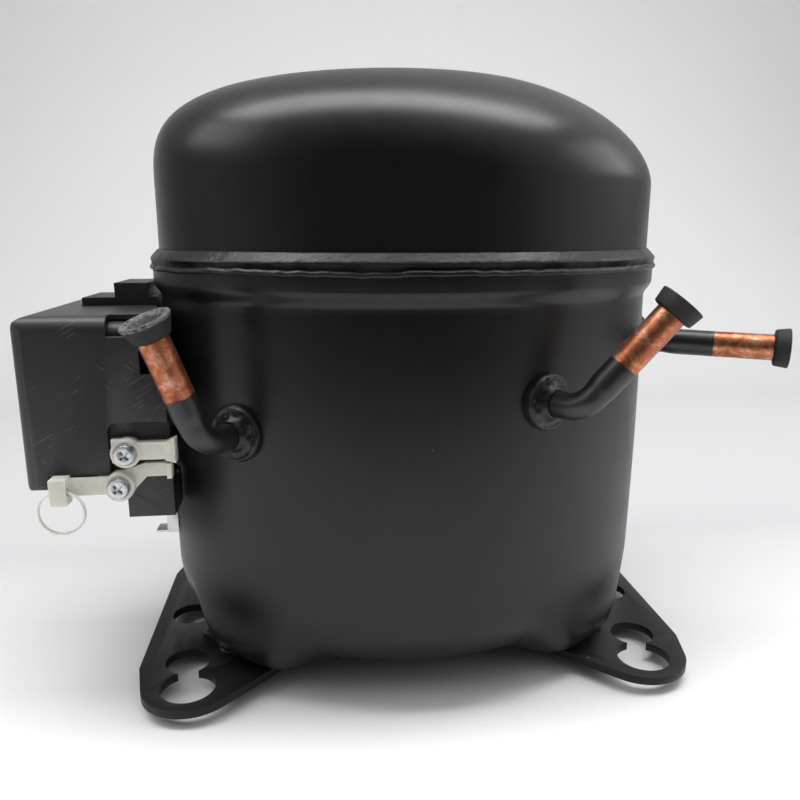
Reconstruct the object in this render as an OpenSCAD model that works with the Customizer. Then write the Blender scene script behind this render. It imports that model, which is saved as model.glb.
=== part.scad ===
// Hermetic reciprocating compressor: a deep-drawn steel shell welded at one seam, on a slotted
// base plate, with three capped tube stubs and an electrical box on its left end. Inside are the
// motor, the crankcase and the single-cylinder pump. Millimetres, +Z up. The origin is the centre
// of the mounting holes on the underside of the base plate.

/* [Shell] */
// Length of the shell body, along X
shell_len = 182; // [176:1:190]
// Width of the shell body, along Y
shell_wid = 133; // [130:1:138]
// Roundness of the plan outline, where 2 is an ellipse
shell_square = 1.95; // [1.9:0.05:2.1]
// Thickness of the drawn steel
wall = 2.5; // [2:0.1:3]
// Radius that joins the wall of the lower shell to its floor
bottom_round = 32; // [28:1:34]
// Rounding between wall and floor at the four feet of the lower shell
foot_round = 12; // [10:1:16]
// Angle in plan from the long axis to the middle of a foot
foot_angle = 43; // [40:1:48]
// Height of the top of the seam flange
seam_z = 147.5; // [145:0.5:150]
// Height of the widened mouth of the lower shell
mouth_h = 10; // [8:0.5:11]
// Height of the dome shoulder
shoulder_z = 173; // [171:1:176]
// Rise of the dome above its shoulder
dome_rise = 38.4; // [36:0.2:42]
// Shift of the top of the dome toward the right
dome_shift = 22; // [16:1:24]
// Fullness of the tight left shoulder
full_left = 3.2; // [2.8:0.1:3.4]
// Fullness of the long right shoulder
full_right = 1.75; // [1.7:0.05:2]
// Fullness of the front and back shoulders
full_side = 2.3; // [2.2:0.1:2.6]

/* [Base plate] */
// Thickness of the base plate
plate_t = 3; // [2.5:0.1:4]
// Overall width of the base plate
plate_len = 203.6; // [202:0.4:208]
// Spacing of the large mounting holes along X
hole_dx = 165.1; // [164:0.1:166]
// Spacing of the large mounting holes along Y
hole_dy = 101.6; // [100:0.1:103]
// Diameter of the large mounting holes
hole_d = 19; // [17:0.5:20]
// Spacing of the small mounting holes along X
small_dx = 170; // [169:0.5:171]
// Spacing of the small mounting holes along Y
small_dy = 70; // [69:0.5:71]
// Diameter of the small mounting holes
small_d = 16; // [15:0.5:16.5]
// Radius of the rounded ears
ear_r = 17; // [16:0.1:18]
// Diameter of the middle holes
mid_hole_d = 15.6; // [12:0.2:17]
// Height of the turned-down stiffening lips
lip_h = 4; // [3:0.5:6]

/* [Tube stubs] */
// Depth of the process tube below the seam
process_drop = 54.5; // [52:0.5:57]
// Depth of the suction tube below the seam
suction_drop = 44.2; // [42:0.2:46]
// Depth of the discharge tube below the seam
discharge_drop = 31.1; // [30:0.1:33]
// Outer diameter of the widened sockets
socket_d = 9.52; // [9.2:0.02:10]
// Bore of the sockets
socket_bore_d = 8.2; // [7.8:0.1:8.4]
// Outer diameter of the tube between the shell and the socket
stub_d = 8.7; // [8.4:0.1:8.9]
// Bore of the tube between the shell and the socket
stub_bore_d = 7.1; // [6.6:0.1:7.3]
// Length of the socket taper
swage_len = 4; // [3:0.5:5]
// Bend radius of the tube axis
bend_r = 9.5; // [9:0.5:10]
// Diameter of the weld collars
collar_d = 19.4; // [17:0.2:21]
// Height of the weld collars
collar_h = 3.2; // [2.4:0.1:4]
// Length of the rubber plug stems
plug_stem = 10; // [6:1:14]
// Diameter of the plug heads
plug_head_d = 14.6; // [13:0.2:16]
// Thickness of the plug heads
plug_head_h = 5; // [4:0.5:6]

/* [Electrical box] */
// Reach of the cover beyond the end of the shell
box_reach = 40; // [38:1:45]
// Front face of the cover, distance in front of the origin
box_front = 46; // [45:1:48]
// Back face of the cover, distance behind the origin
box_back = 24; // [24:1:30]
// Depth of the cover's top below the seam
box_drop = 16.5; // [15:0.5:18]
// Height of the cover
box_tall = 57; // [56:1:60]
// Wall of the plastic mouldings
box_wall = 2; // [1.6:0.1:2.2]
// Radius of the cover's outer corners
box_round = 6; // [4:0.5:7]
// Radius of the cover's front and back top edges
top_round = 5; // [4:0.5:6]
// Radius of its lower edges
low_round = 3; // [2.5:0.5:4]

/* [Motor] */
// Room between the stator stack and the shell, along X
room_x = 30.5; // [29:0.5:33]
// Room between the stator stack and the shell, along Y
room_y = 15; // [14:0.5:18]
// Height of the lamination stack
stack_h = 52; // [46:1:54]
// Underside of the lamination stack
stack_z = 44; // [42:1:46]
// Rotor diameter
rotor_d = 55; // [50:0.5:56]
// Air gap between rotor and stator
air_gap = 0.4; // [0.3:0.05:0.6]

/* [Pump] */
// Crank throw
throw_r = 9; // [8:0.5:9.5]
// Distance between the rod's eyes
rod_len = 36; // [34:1:38]
// Cylinder bore diameter
bore_d = 24; // [20:0.5:25]
// Height of the cylinder axis
bore_z = 145; // [144:0.5:147]
// Crank pin diameter
pin_d = 14; // [13:0.5:15]
// Main shaft diameter
shaft_d = 18; // [16:0.5:19]
// Crank angle at rest, measured from top dead centre
crank_rest = 60; // [55:1:70]

/* [Hidden] */

slip = 0.1;        // clearance of a fit within one body
gap = 0.3;         // clearance between pieces that only lie close
seg = 64;          // points round a shell section
$fn = 48;
a_body = shell_len / 2;
b_body = shell_wid / 2;
seat_gap = 0.15;   // between the plate and the shell's floor
seat_z = plate_t + seat_gap;
foot_spread = 22;  // angle from a foot's middle to where it has run out
foot_blend = 14;   // the part of that angle over which it runs out
mouth_z = seam_z - mouth_h;
mouth_out = wall + slip;
ledge_z = mouth_z + wall;
belly_z = 80;
belly = 0.6;

// Power with the sign kept, which gives the superellipse its rounded-square plan
function power(c, p) = sign(c) * pow(abs(c), p);
// One section of the shell, from its reach to the left, right and side
function section(left, right, half, z) = [for (i = [0:seg - 1])
    let (t = 360 * i / seg, c = power(cos(t), 2 / shell_square), s = power(sin(t), 2 / shell_square))
    [(right - left + (right + left) * c) / 2, half * s, z]];
function ring(inset, z) = section(a_body - inset, a_body - inset, b_body - inset, z);
// The point of such a ring at a plan angle
function plan_at(t, inset, z) = [(a_body - inset) * power(cos(t), 2 / shell_square),
    (b_body - inset) * power(sin(t), 2 / shell_square), z];
function backward(list) = [for (i = [len(list) - 1:-1:0]) list[i]];

// A closed surface through rings of equal point counts, flat at both ends
module skin(rings) {
    m = len(rings[0]);
    k = len(rings);
    sides = [for (i = [0:k - 2]) for (j = [0:m - 1]) let (u = (j + 1) % m)
        [i * m + j, (i + 1) * m + j, (i + 1) * m + u, i * m + u]];
    first = [for (j = [0:m - 1]) j];
    last = [for (j = [m - 1:-1:0]) (k - 1) * m + j];
    polyhedron([for (r = rings) each r], concat([first], sides, [last]), convexity = 6);
}
// A closed band through rings that return to the first one
module band(rings) {
    m = len(rings[0]);
    k = len(rings);
    polyhedron([for (r = rings) each r], [for (i = [0:k - 1]) for (j = [0:m - 1])
        let (u = (j + 1) % m, v = (i + 1) % k) [i * m + j, v * m + j, v * m + u, i * m + u]],
        convexity = 6);
}

// Lower shell: how far a plan angle lies inside one of the four feet, from 0 to 1
function foot_share(t) = let (k = (foot_spread - abs(asin(abs(sin(t))) - foot_angle)) / foot_blend)
    k <= 0 ? 0 : k >= 1 ? 1 : k * k * (3 - 2 * k);
function round_at(t) = bottom_round - (bottom_round - foot_round) * foot_share(t);
// The corner between wall and floor, at a depth d below the outer surface
function corner(d, steps) = [for (s = steps) [for (i = [0:seg - 1])
    let (t = 360 * i / seg, r = round_at(t))
    plan_at(t, r - (r - d) * sin(s), seat_z + r - (r - d) * cos(s))]];
outer_steps = [0:12:84];
inner_steps = [0:13:78];
function lower_outside(extra = 0) = concat(corner(-extra, outer_steps),
    [ring(-extra, seat_z + bottom_round), ring(-belly - extra, belly_z),
     ring(-extra, mouth_z - mouth_out)]);
module lower_form() {
    rim = [ring(-mouth_out * 0.8, mouth_z - mouth_out * 0.4), ring(-mouth_out, mouth_z + 0.6),
        ring(-mouth_out, seam_z), ring(-slip, seam_z), ring(-slip, ledge_z)];
    inside = concat([ring(wall, ledge_z), ring(wall - belly, belly_z),
        ring(wall, seat_z + bottom_round)], backward(corner(wall, inner_steps)));
    skin(concat(lower_outside(), rim, inside));
}
module body_form(extra) { skin(lower_outside(extra)); }

// Upper shell: one level of the dome, at a fraction h of its rise
function fullness(h, p) = pow(1 - pow(h, p), 1 / p);
function dome_level(t, d) = let (h = sin(t), l = fullness(h, full_left),
    r = fullness(h, full_right), s = fullness(h, full_side))
    section((a_body - d) * l - dome_shift * (1 - l), (a_body - d) * r + dome_shift * (1 - r),
        (b_body - d) * s, shoulder_z + (dome_rise - d) * h);
dome_steps = [0, 14, 27, 39, 50, 60, 69, 77, 83, 87];
function dome(d, steps = dome_steps) = [for (t = steps) dome_level(t, d)];
module dome_form() {
    skin(concat(backward(dome(wall)), [ring(wall, ledge_z + gap), ring(0, ledge_z + gap)], dome(0)));
}

// Tube stubs: [point on the shell, direction out of the shell, direction of the socket,
// distance from the shell to the corner of the path, distance from the corner to the open end].
// Each point is a share of the shell's half length and half width, and a depth below the seam.
function on_shell(x, y, drop) = [x * a_body, y * b_body, seam_z - drop];
process_path = [on_shell(-0.687, -0.756, process_drop), [-0.56, -0.83, 0],
    [-0.315, -0.12, 0.941], 14.8, 35.8];
suction_path = [on_shell(0.431, -0.917, suction_drop), [0.531, -0.847, 0],
    [0.62, -0.135, 0.773], 12.4, 38.4];
discharge_path = [on_shell(0.967, -0.221, discharge_drop), [0.97, -0.235, -0.05],
    [0.883, -0.47, -0.013], 8, 39.8];
stub_in = wall + 4;
function unit(v) = v / norm(v);
function path_end(p, extra = 0) = p[0] + unit(p[1]) * p[3] + unit(p[2]) * (p[4] + extra);
// Puts its children's Z axis along dir, with their X axis toward the vector side
module aim(at, dir, side = [0, 0, 1]) {
    z = unit(dir);
    y = unit(cross(z, side));
    x = cross(y, z);
    multmatrix([[x[0], y[0], z[0], at[0]], [x[1], y[1], z[1], at[1]],
        [x[2], y[2], z[2], at[2]], [0, 0, 0, 1]]) children();
}
module pipe(r, bore, h) {
    difference() {
        cylinder(r = r, h = h);
        translate([0, 0, -1]) cylinder(r = bore, h = h + 2);
    }
}
// A round bar along Z, or a bend of one that starts along Z and turns toward X
module bar(r, z0, z1) { translate([0, 0, z0]) cylinder(r = r, h = z1 - z0); }
module bend(r, z0, turn) {
    translate([bend_r, 0, z0]) mirror([1, 0, 0]) rotate([90, 0, 0])
        rotate_extrude(angle = turn) translate([bend_r, 0]) circle(r = r);
}
// The widened end of a stub, from z = 0 to its open end, as a solid of given radii
module widened(r0, r1, h, lap) {
    bar(r0, -lap, 0);
    cylinder(r1 = r0, r2 = r1, h = swage_len);
    bar(r1, swage_len, h);
}
join_lap = 0.3;    // how far the straight parts reach into the bend
join_step = 0.02;  // how much the bend's wall is thinner there
module bent_form(r0, r1, p, step, ends) {
    turn = acos(unit(p[1]) * unit(p[2]));
    tangent = bend_r * tan(turn / 2);
    start = p[3] - tangent;
    bar(r0, -stub_in - ends, start + join_lap);
    bend(r0 + step, start, turn);
    translate([bend_r * (1 - cos(turn)), 0, start + bend_r * sin(turn)]) rotate([0, turn, 0])
        widened(r0, r1, p[4] - tangent + ends, join_lap);
}
module bent_stub(p) {
    aim(p[0], p[1], p[2]) difference() {
        bent_form(stub_d / 2, socket_d / 2, p, -join_step, 0);
        bent_form(stub_bore_d / 2, socket_bore_d / 2, p, join_step, 1);
    }
}
collar_back = 5;
module collar(p) {
    difference() {
        aim(p[0], p[1]) rotate_extrude() polygon([[stub_d / 2 + slip, -collar_back],
            [collar_d / 2, -collar_back], [collar_d / 2, 1], [collar_d / 2 - 1, 1.6],
            [collar_d / 2 - 2.2, 1.2], [stub_d / 2 + 1, collar_h - 0.6],
            [stub_d / 2 + slip, collar_h]]);
        body_form(0.05);
    }
}
module stub_hole(p) {
    aim(p[0], p[1]) translate([0, 0, -20]) cylinder(r = stub_d / 2 + slip, h = 30);
}
// Rubber plugs: a plain disc head, or a flared head with a hollow top
module plug_stem() {
    translate([0, 0, -plug_stem]) {
        cylinder(r1 = socket_bore_d / 2 - 0.8, r2 = socket_bore_d / 2 - 0.05, h = 2);
        translate([0, 0, 2]) cylinder(r = socket_bore_d / 2 - 0.05, h = plug_stem - 2);
    }
}
module disc_plug(p) {
    aim(path_end(p), p[2]) {
        plug_stem();
        cylinder(r1 = plug_head_d / 2 - 0.7, r2 = plug_head_d / 2, h = plug_head_h);
    }
}
flare_d = 15.8;
flare_h = 7;
module flared_plug(p) {
    aim(path_end(p), p[2]) {
        plug_stem();
        rotate_extrude() polygon([[0, 0], [socket_d / 2 + 0.8, 0], [socket_d / 2 + 1.4, 1.6],
            [flare_d / 2 - 0.5, flare_h - 2], [flare_d / 2, flare_h - 0.6], [flare_d / 2 - 0.9, flare_h],
            [flare_d / 2 - 2, flare_h - 0.8], [2, 2.6], [0, 2.4]]);
    }
}

module lower_shell() {
    color("#18181a") difference() {
        lower_form();
        stub_hole(process_path);
        stub_hole(suction_path);
        stub_hole(discharge_path);
        translate([-a_body - 5, 0, term_z]) rotate([0, 90, 0]) cylinder(d = term_d, h = 20);
    }
}
module upper_shell() { color("#18181a") dome_form(); }
// The weld lies on the rim of the mouth, against the dome's wall, and hangs over its outer edge
bead_out = 0.9;
bead_up = 3;
module seam_weld() {
    color("#1d1d1f") band([ring(-mouth_out - slip, seam_z - 2.6),
        ring(-mouth_out - bead_out, seam_z - 1.6), ring(-mouth_out - bead_out * 0.6, seam_z + 0.5),
        ring(-mouth_out * 0.45, seam_z + bead_up * 0.7), ring(-slip, seam_z + bead_up),
        ring(-slip, seam_z + 0.02), ring(-mouth_out - slip, seam_z + 0.02)]);
}

// Base plate
ear_x = hole_dx / 2 - 0.5;
ear_y = hole_dy / 2 - 3.2;
side_x = plate_len / 2;
side_y = 38;        // half length of the plate's straight ends
waist_y = 30;      // half width of the plate between its ears
ear_cut = ear_r * sin(45);
lip_len = 56;
mid_hole_x = 88.7;
// Where a line from p touches the ear's circle on its outer side
function ear_touch(p) = let (v = p - [ear_x, ear_y], t = atan2(v[1], v[0]) + acos(ear_r / norm(v)))
    [ear_x + ear_r * cos(t), ear_y + ear_r * sin(t)];
function plate_quarter() = [[side_x, side_y], ear_touch([side_x, side_y]),
    [ear_x - ear_cut, ear_y + ear_cut], [ear_x - 2 * ear_cut - ear_y + waist_y, waist_y]];
module plate_outline() {
    q = plate_quarter();
    difference() {
        union() {
            polygon(concat(q, [for (p = backward(q)) [-p[0], p[1]]], [for (p = q) [-p[0], -p[1]]],
                [for (p = backward(q)) [p[0], -p[1]]]));
            for (x = [-ear_x, ear_x]) for (y = [-ear_y, ear_y]) translate([x, y]) circle(r = ear_r);
        }
        for (x = [-1, 1]) {
            for (y = [-1, 1]) {
                translate([x * hole_dx / 2, y * hole_dy / 2]) circle(d = hole_d);
                translate([x * small_dx / 2, y * small_dy / 2]) circle(d = small_d);
            }
            translate([x * mid_hole_x, 0]) circle(d = mid_hole_d);
        }
    }
}
module base_plate() {
    color("#1a1a1b") {
        linear_extrude(plate_t) plate_outline();
        for (s = [-1, 1]) translate([0, s * (waist_y - plate_t / 2), 0]) rotate([90, 0, 0])
            linear_extrude(plate_t, center = true) polygon([[-lip_len / 2, 0.5],
                [-lip_len / 2 + lip_h, -lip_h], [lip_len / 2 - lip_h, -lip_h], [lip_len / 2, 0.5]]);
    }
}
// Welds between the plate and the shell, from each foot toward the plate's end
weld_angles = [24:3:45];
weld_up = 3.6;
weld_reach = 3.4;
weld_gap = 0.2;     // between the weld and the shell over it
weld_depth = 0.7;   // how far it runs under the rounding, as a share of it
function corner_drop(r, inset) = r - sqrt(pow(r, 2) - pow(r - inset, 2));
function weld_section(t) = let (r = round_at(t), touch = corner_drop(r, weld_up), deep = r * weld_depth)
    concat([[deep, -seat_gap], [touch - weld_reach, -seat_gap],
        [touch - weld_reach * 0.75, weld_up * 0.45], [touch - weld_reach * 0.3, weld_up * 0.85]],
        [for (k = [0:0.25:1]) let (inset = touch + (deep - touch) * k)
            [inset, corner_drop(r, inset) - weld_gap]]);
module foot_weld() {
    skin([for (t = weld_angles) [for (c = weld_section(t)) plan_at(t, c[0], seat_z + c[1])]]);
}
module foot_welds() {
    color("#1d1d1f") for (x = [0, 1]) for (y = [0, 1])
        mirror([x, 0, 0]) mirror([0, y, 0]) foot_weld();
}

// Tubes, collars and plugs as nodes
module process_tube() { color("#b5653a") bent_stub(process_path); }
module suction_tube() { color("#b5653a") bent_stub(suction_path); }
module discharge_tube() { color("#b5653a") bent_stub(discharge_path); }
module process_collar() { color("#1b1b1d") collar(process_path); }
module suction_collar() { color("#1b1b1d") collar(suction_path); }
module discharge_collar() { color("#1b1b1d") collar(discharge_path); }
module process_plug() { color("#33373a") flared_plug(process_path); }
module suction_plug() { color("#33373a") disc_plug(suction_path); }
module discharge_plug() { color("#33373a") disc_plug(discharge_path); }

// Electrical terminal in the left end of the shell: a cup with three pins in glass
box_out = a_body + box_reach;
box_top = seam_z - box_drop;
box_low = box_top - box_tall;
term_z = box_top - 23;
term_d = 30;
term_wall = 2;
pin_r = 1.6;
glass_r = 4;
pin_circle = 7.5;
pin_out = 12;
pin_in = 9;
term_x = -a_body - belly;
pin_angles = [90, 210, 330];
module at_pins() {
    translate([term_x, 0, term_z]) rotate([90, 0, -90])
        for (t = pin_angles) rotate(t) translate([pin_circle, 0, 0]) children();
}
module terminal_body() {
    color("#8d8f92") difference() {
        translate([term_x, 0, term_z]) rotate([90, 0, -90]) rotate_extrude() polygon([[0, 0],
            [term_d / 2 - 3, 0], [term_d / 2 - 3, -wall - 1.5], [term_d / 2 - slip, -wall - 1.5],
            [term_d / 2 - slip, 1.2], [term_d / 2 - 2, term_wall], [0, term_wall]]);
        at_pins() translate([0, 0, -1]) cylinder(r = glass_r, h = term_wall + 2);
    }
}
module terminal_glass() {
    color("#4d6f78") at_pins() pipe(glass_r, pin_r, term_wall);
}
module terminal_pins() {
    color("#b9bbbd") at_pins() translate([0, 0, -pin_in]) {
        cylinder(r = pin_r, h = pin_in + pin_out - 1);
        translate([0, 0, pin_in + pin_out - 1]) cylinder(r1 = pin_r, r2 = pin_r - 0.8, h = 1);
    }
}

// Box outline helpers
module round_rect(x0, x1, y0, y1, r) {
    translate([x0 + r, y0]) square([x1 - x0 - 2 * r, y1 - y0]);
    translate([x0, y0 + r]) square([x1 - x0, y1 - y0 - 2 * r]);
    for (x = [x0 + r, x1 - r]) for (y = [y0 + r, y1 - r]) translate([x, y]) circle(r = r);
}
// The same with its lower corners rounded by another radius
module soft_rect(x0, x1, y0, y1, low, high) {
    round_rect(x0, x1, y0, y1, high);
    round_rect(x0, x1, y0, y0 + (y1 - y0) / 2, low);
}
module along_y(y0, y1) { translate([0, y1, 0]) rotate([90, 0, 0]) linear_extrude(y1 - y0) children(); }
module along_x(x0, x1) {
    translate([x0, 0, 0]) rotate([90, 0, 90]) linear_extrude(x1 - x0) children();
}
module block(x0, x1, y0, y1, z0, z1) { translate([x0, y0, z0]) cube([x1 - x0, y1 - y0, z1 - z0]); }
module shell_prism(extra, z0, z1) {
    translate([0, 0, z0]) linear_extrude(z1 - z0)
        polygon([for (p = ring(-belly - extra, 0)) [p[0], p[1]]]);
}

// Steel bracket welded round the terminal, which carries the box
bracket_y = 18;
bracket_t = 1.5;
bracket_z0 = term_z - 20;
bracket_z1 = term_z + 20;
base_x = a_body + 7;       // outer face of the box base's back wall
module terminal_bracket() {
    color("#1f1f21") difference() {
        union() {
            for (s = [-1, 1]) block(-base_x + box_wall + slip, -a_body + 20,
                s * bracket_y - bracket_t / 2, s * bracket_y + bracket_t / 2, bracket_z0, bracket_z1);
            for (s = [-1, 1]) for (z = [bracket_z0 + 7, bracket_z1 - 7])
                translate([-base_x - 3, s * bracket_y, z]) rotate([0, 90, 0]) cylinder(r = 1.5, h = 20);
        }
        shell_prism(0.05, bracket_z0 - 1, bracket_z1 + 1);
    }
}

// Box base: a back wall with a window for the terminal, a rim inside the cover, and a front wing
fit = 0.4;
base_slack = 1.2;  // how far the box base stays from the shell
rim_x = base_x + 10;
base_y0 = -box_front + box_wall + fit;
base_y1 = box_back - box_wall - fit;
base_z0 = box_low + box_wall + fit;
base_z1 = box_top - box_wall - fit;
wing_x = a_body - 7;
wing_left = a_body + 12;
wing_step = a_body + 8;
wing_z0 = box_low - 10.5;
wing_z1 = box_low + 22;
screw_a = [-a_body - 6.4, box_low + 12.9];
screw_b = [-a_body - 9.1, box_low + 1.8];
wing_back = -22;    // how far back the wing's return reaches
boss_len = 8.5;
rib_z = 12;
rib_half = 5;
hook_y0 = -9;
hook_y1 = 15;
hook_out = 20;
hook_t = 2.5;
hook_lip = 5.4;
hook_block = 9;     // how far the hook's upright part reaches over its slab
hook_x = -base_x + 0.4;
foot_z = seam_z - mouth_h - 3.5;    // top of the hook's foot, under the shell's widened mouth
window_r = 17;
screw_r = 1.7;
boss_r = 3.8;
module box_base() {
    color("#262628") difference() {
        union() {
            difference() {
                along_x(-rim_x, -base_x + box_wall) round_rect(base_y0, base_y1, base_z0, base_z1,
                    box_round - box_wall);
                along_x(-rim_x - 1, -base_x) round_rect(base_y0 + box_wall, base_y1 - box_wall,
                    base_z0 + box_wall, base_z1 - box_wall, 2);
            }
            along_y(base_y0, base_y0 + box_wall) polygon([[-wing_left, wing_z1],
                [-wing_left, box_low + 5], [-wing_step, box_low - 2.5], [-wing_step, wing_z0],
                [-wing_x, wing_z0], [-wing_x, wing_z1]]);
            for (s = [screw_a, screw_b]) translate([s[0], base_y0 + boss_len + 0.5, s[1]])
                rotate([90, 0, 0]) cylinder(r = boss_r, h = boss_len);
            for (z = [base_z0 + rib_z, base_z1 - rib_z]) block(-base_x, -wing_x - 6,
                base_y1 - box_wall, base_y1, z - rib_half, z + rib_half);
            block(-base_x - hook_out, -base_x + box_wall, hook_y0, hook_y1, base_z1 - box_wall,
                box_top + gap + hook_t);
            block(-wing_x - box_wall, -wing_x, base_y0, wing_back, wing_z0, box_low - gap);
            block(-base_x, -a_body, hook_y0, hook_y1, base_z1 - box_wall, foot_z);
            block(hook_x - hook_block, hook_x + hook_t, hook_y0, hook_y1, box_top + hook_t,
                box_top + hook_t + hook_lip);
        }
        translate([-base_x - 1, 0, term_z]) rotate([0, 90, 0]) cylinder(r = window_r, h = 4);
        for (s = [-1, 1]) for (z = [bracket_z0 + 7, bracket_z1 - 7])
            translate([-base_x - 1, s * bracket_y, z]) rotate([0, 90, 0]) cylinder(r = 1.8, h = 4);
        for (s = [screw_a, screw_b]) translate([s[0], base_y0 + boss_len + 1, s[1]])
            rotate([90, 0, 0]) cylinder(r = screw_r + slip, h = boss_len + 4);
        block(hook_x - hook_block + hook_t, hook_x, hook_y0 + hook_t, hook_y1 + 1,
            box_top + 2 * hook_t, box_top + hook_lip);
        shell_prism(base_slack, wing_z0 - 1, seam_z - mouth_h);
    }
}

// Box cover: a thin shell, rounded on its outer edges, open toward the compressor
notch_z = wing_z1 + 0.6;
step_x = box_out - 8.5;
step_z = box_low + 5.3;
step_tab = 14;
cover_slack = 1.6; // how far the cover stays from the shell
side_notch = [7.4, 11, 18.7];   // how far in it reaches, and its top and foot below the cover's top
top_notch = [17, 6.4, 8];       // length, height and depth of the cut in the front top edge
module cover_form(d) {
    intersection() {
        along_y(-box_front + d, box_back - d) soft_rect(-box_out + d, -wing_x + box_tall,
            box_low + d, box_top - d, low_round - d, box_round - d);
        along_x(-box_out - 1, 0) soft_rect(-box_front + d, box_back - d,
            box_low + d, box_top - d, low_round - d, top_round - d);
        translate([0, 0, box_low - 1]) linear_extrude(box_tall + 2)
            round_rect(-box_out + d, -wing_x + box_tall, -box_front + d, box_back - d, box_round - d);
    }
}
module box_cover() {
    color("#2b2b2d") difference() {
        cover_form(0);
        cover_form(box_wall);
        block(-wing_x, a_body, -2 * box_front, 2 * box_front, box_low - 1, box_top + 1);
        shell_prism(cover_slack, box_low - 1, seam_z);
        block(-wing_x - side_notch[0], 0, -box_front - 1, -box_front + box_round,
            box_top - side_notch[2], box_top - side_notch[1]);
        block(-wing_x - top_notch[0], 0, -box_front - 1, -box_front + top_notch[2],
            box_top - top_notch[1], box_top + 1);
        along_y(-box_front - 1, -box_front + box_round) round_rect(-wing_left, 0, box_low - 10,
            notch_z, 3);
        block(-step_x, -wing_left + 4, -box_front - 1, -box_front + box_round, box_low - 1, step_z);
        block(-step_x + step_tab, 0, -box_front - 1, -box_front + 14, box_low - 1, base_z0);
        translate([screw_b[0], 0, screw_b[1]]) rotate([90, 0, 0])
            cylinder(r = strap_boss_r + gap, h = box_front + 5);
        block(-base_x - hook_out - 2 * gap, 0, hook_y0 - 2 * gap, hook_y1 + 2 * gap,
            box_top - box_wall - 1, box_top + 5);
    }
}

// Starting relay on two pins and overload protector on the third
relay_y = 15;
relay_z0 = base_z0 + box_wall + 3.6;
relay_high = 0.8;
relay_x = base_x + 17;
module start_relay() {
    color("#3a3431") difference() {
        union() {
            block(-relay_x, -base_x - gap, -relay_y, relay_y, relay_z0, term_z - relay_high);
            block(-relay_x - 3, -relay_x + 2, -relay_y / 2, relay_y / 2, relay_z0 + 6, term_z - 6);
        }
        at_pins() translate([0, 0, 1]) cylinder(r = pin_r + slip, h = pin_out + 1);
    }
}
over_r = 10;
over_h = 13;
over_z = base_z1 - box_wall - over_r - gap;
module overload_protector() {
    color("#1c1c1e") difference() {
        translate([-base_x - gap, 0, over_z]) rotate([0, -90, 0]) cylinder(r = over_r, h = over_h);
        block(-relay_x, -base_x + 1, -over_r, over_r, over_z - over_r - 1, term_z + gap - relay_high);
        at_pins() translate([0, 0, 1]) cylinder(r = pin_r + slip, h = pin_out + 1);
    }
}

// Cord clamp on the front wing: an upper bar held by one screw, and a strap that turns on the other
clamp_y = base_y0;
clamp_t = 5;
strap_boss_r = 4.8;
arm_y = -box_front - gap;
module clamp_body() {
    color("#d6d1c6") difference() {
        union() {
            translate([screw_a[0], clamp_y, screw_a[1]]) rotate([90, 0, 0]) cylinder(r = 4.7, h = clamp_t);
            translate([screw_a[0], 0, screw_a[1]]) {
                block(0, 13.9, clamp_y - clamp_t + 0.8, clamp_y, -2.3, 3.2);
                block(-4.7, 0, clamp_y - 3, clamp_y, -3.5, 4.4);
                along_y(clamp_y - clamp_t, clamp_y) polygon([[12.4, -2.5], [15.7, -3.5],
                    [15.7, 4.6], [12.4, 3.2]]);
            }
        }
        translate([screw_a[0], 0, screw_a[1]]) rotate([90, 0, 0]) cylinder(r = screw_r + slip, h = 60);
    }
}
buckle_w = 5.2;
buckle_t = 5.7;
arm_t = 1.8;
buckle = [screw_b[0] - 18.3, arm_y - buckle_t + 2.2, screw_b[1] - 0.4];
module clamp_strap() {
    color("#d6d1c6") difference() {
        union() {
            translate([screw_b[0], clamp_y - gap, screw_b[1]]) rotate([90, 0, 0])
                cylinder(r = strap_boss_r, h = clamp_t);
            translate([screw_b[0], 0, screw_b[1]]) {
                block(-16.9, -2, arm_y - arm_t, arm_y, -2.6, 3.2);
                block(-18.3 - buckle_w / 2, -18.3 + buckle_w / 2, arm_y - buckle_t, arm_y, -4.7, 4);
                along_y(clamp_y - 2.6, clamp_y - gap) polygon([[-1.9, 4], [2.1, -4], [8.5, 2.6],
                    [16.7, 2.6], [16.7, 7.1], [8.1, 7.1]]);
                block(15.1, 16.7, clamp_y - 4, clamp_y - gap, 2, 7.1);
            }
        }
        translate([screw_b[0], 0, screw_b[1]]) rotate([90, 0, 0]) cylinder(r = screw_r + 0.05, h = 60);
        translate([buckle[0], buckle[1], buckle[2]]) rotate([0, 90, 0])
            cylinder(r = ring_slot_r, h = 10, center = true);
    }
}
screw_head_r = 3.8;
screw_head_h = 1.9;
screw_len = 12;
module screw(at, y) {
    translate([at[0], y, at[1]]) rotate([90, 0, 0]) difference() {
        union() {
            translate([0, 0, -screw_len]) cylinder(r = screw_r, h = screw_len);
            cylinder(r1 = screw_head_r, r2 = screw_head_r - 0.7, h = screw_head_h);
        }
        for (a = [45, 135]) rotate(a) translate([-1.8, -0.4, screw_head_h - 1.1]) cube([3.6, 0.8, 2]);
    }
}
module clamp_screws() {
    color("#c3c5c7") {
        screw(screw_a, clamp_y - clamp_t);
        screw(screw_b, clamp_y - gap - clamp_t - slip);
    }
}
// Thin tie loop that hangs in the buckle's slot
ring_r = 7.2;
ring_slot_r = 1.4;
ring_thick = 0.9;
ring_wide = 1.6;
module tie_ring() {
    color("#d9d6cf") translate([buckle[0], buckle[1], buckle[2] - ring_r]) rotate([90, 0, 0])
        rotate_extrude($fn = 64) translate([ring_r - ring_thick / 2, -ring_wide / 2])
            square([ring_thick, ring_wide]);
}
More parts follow.
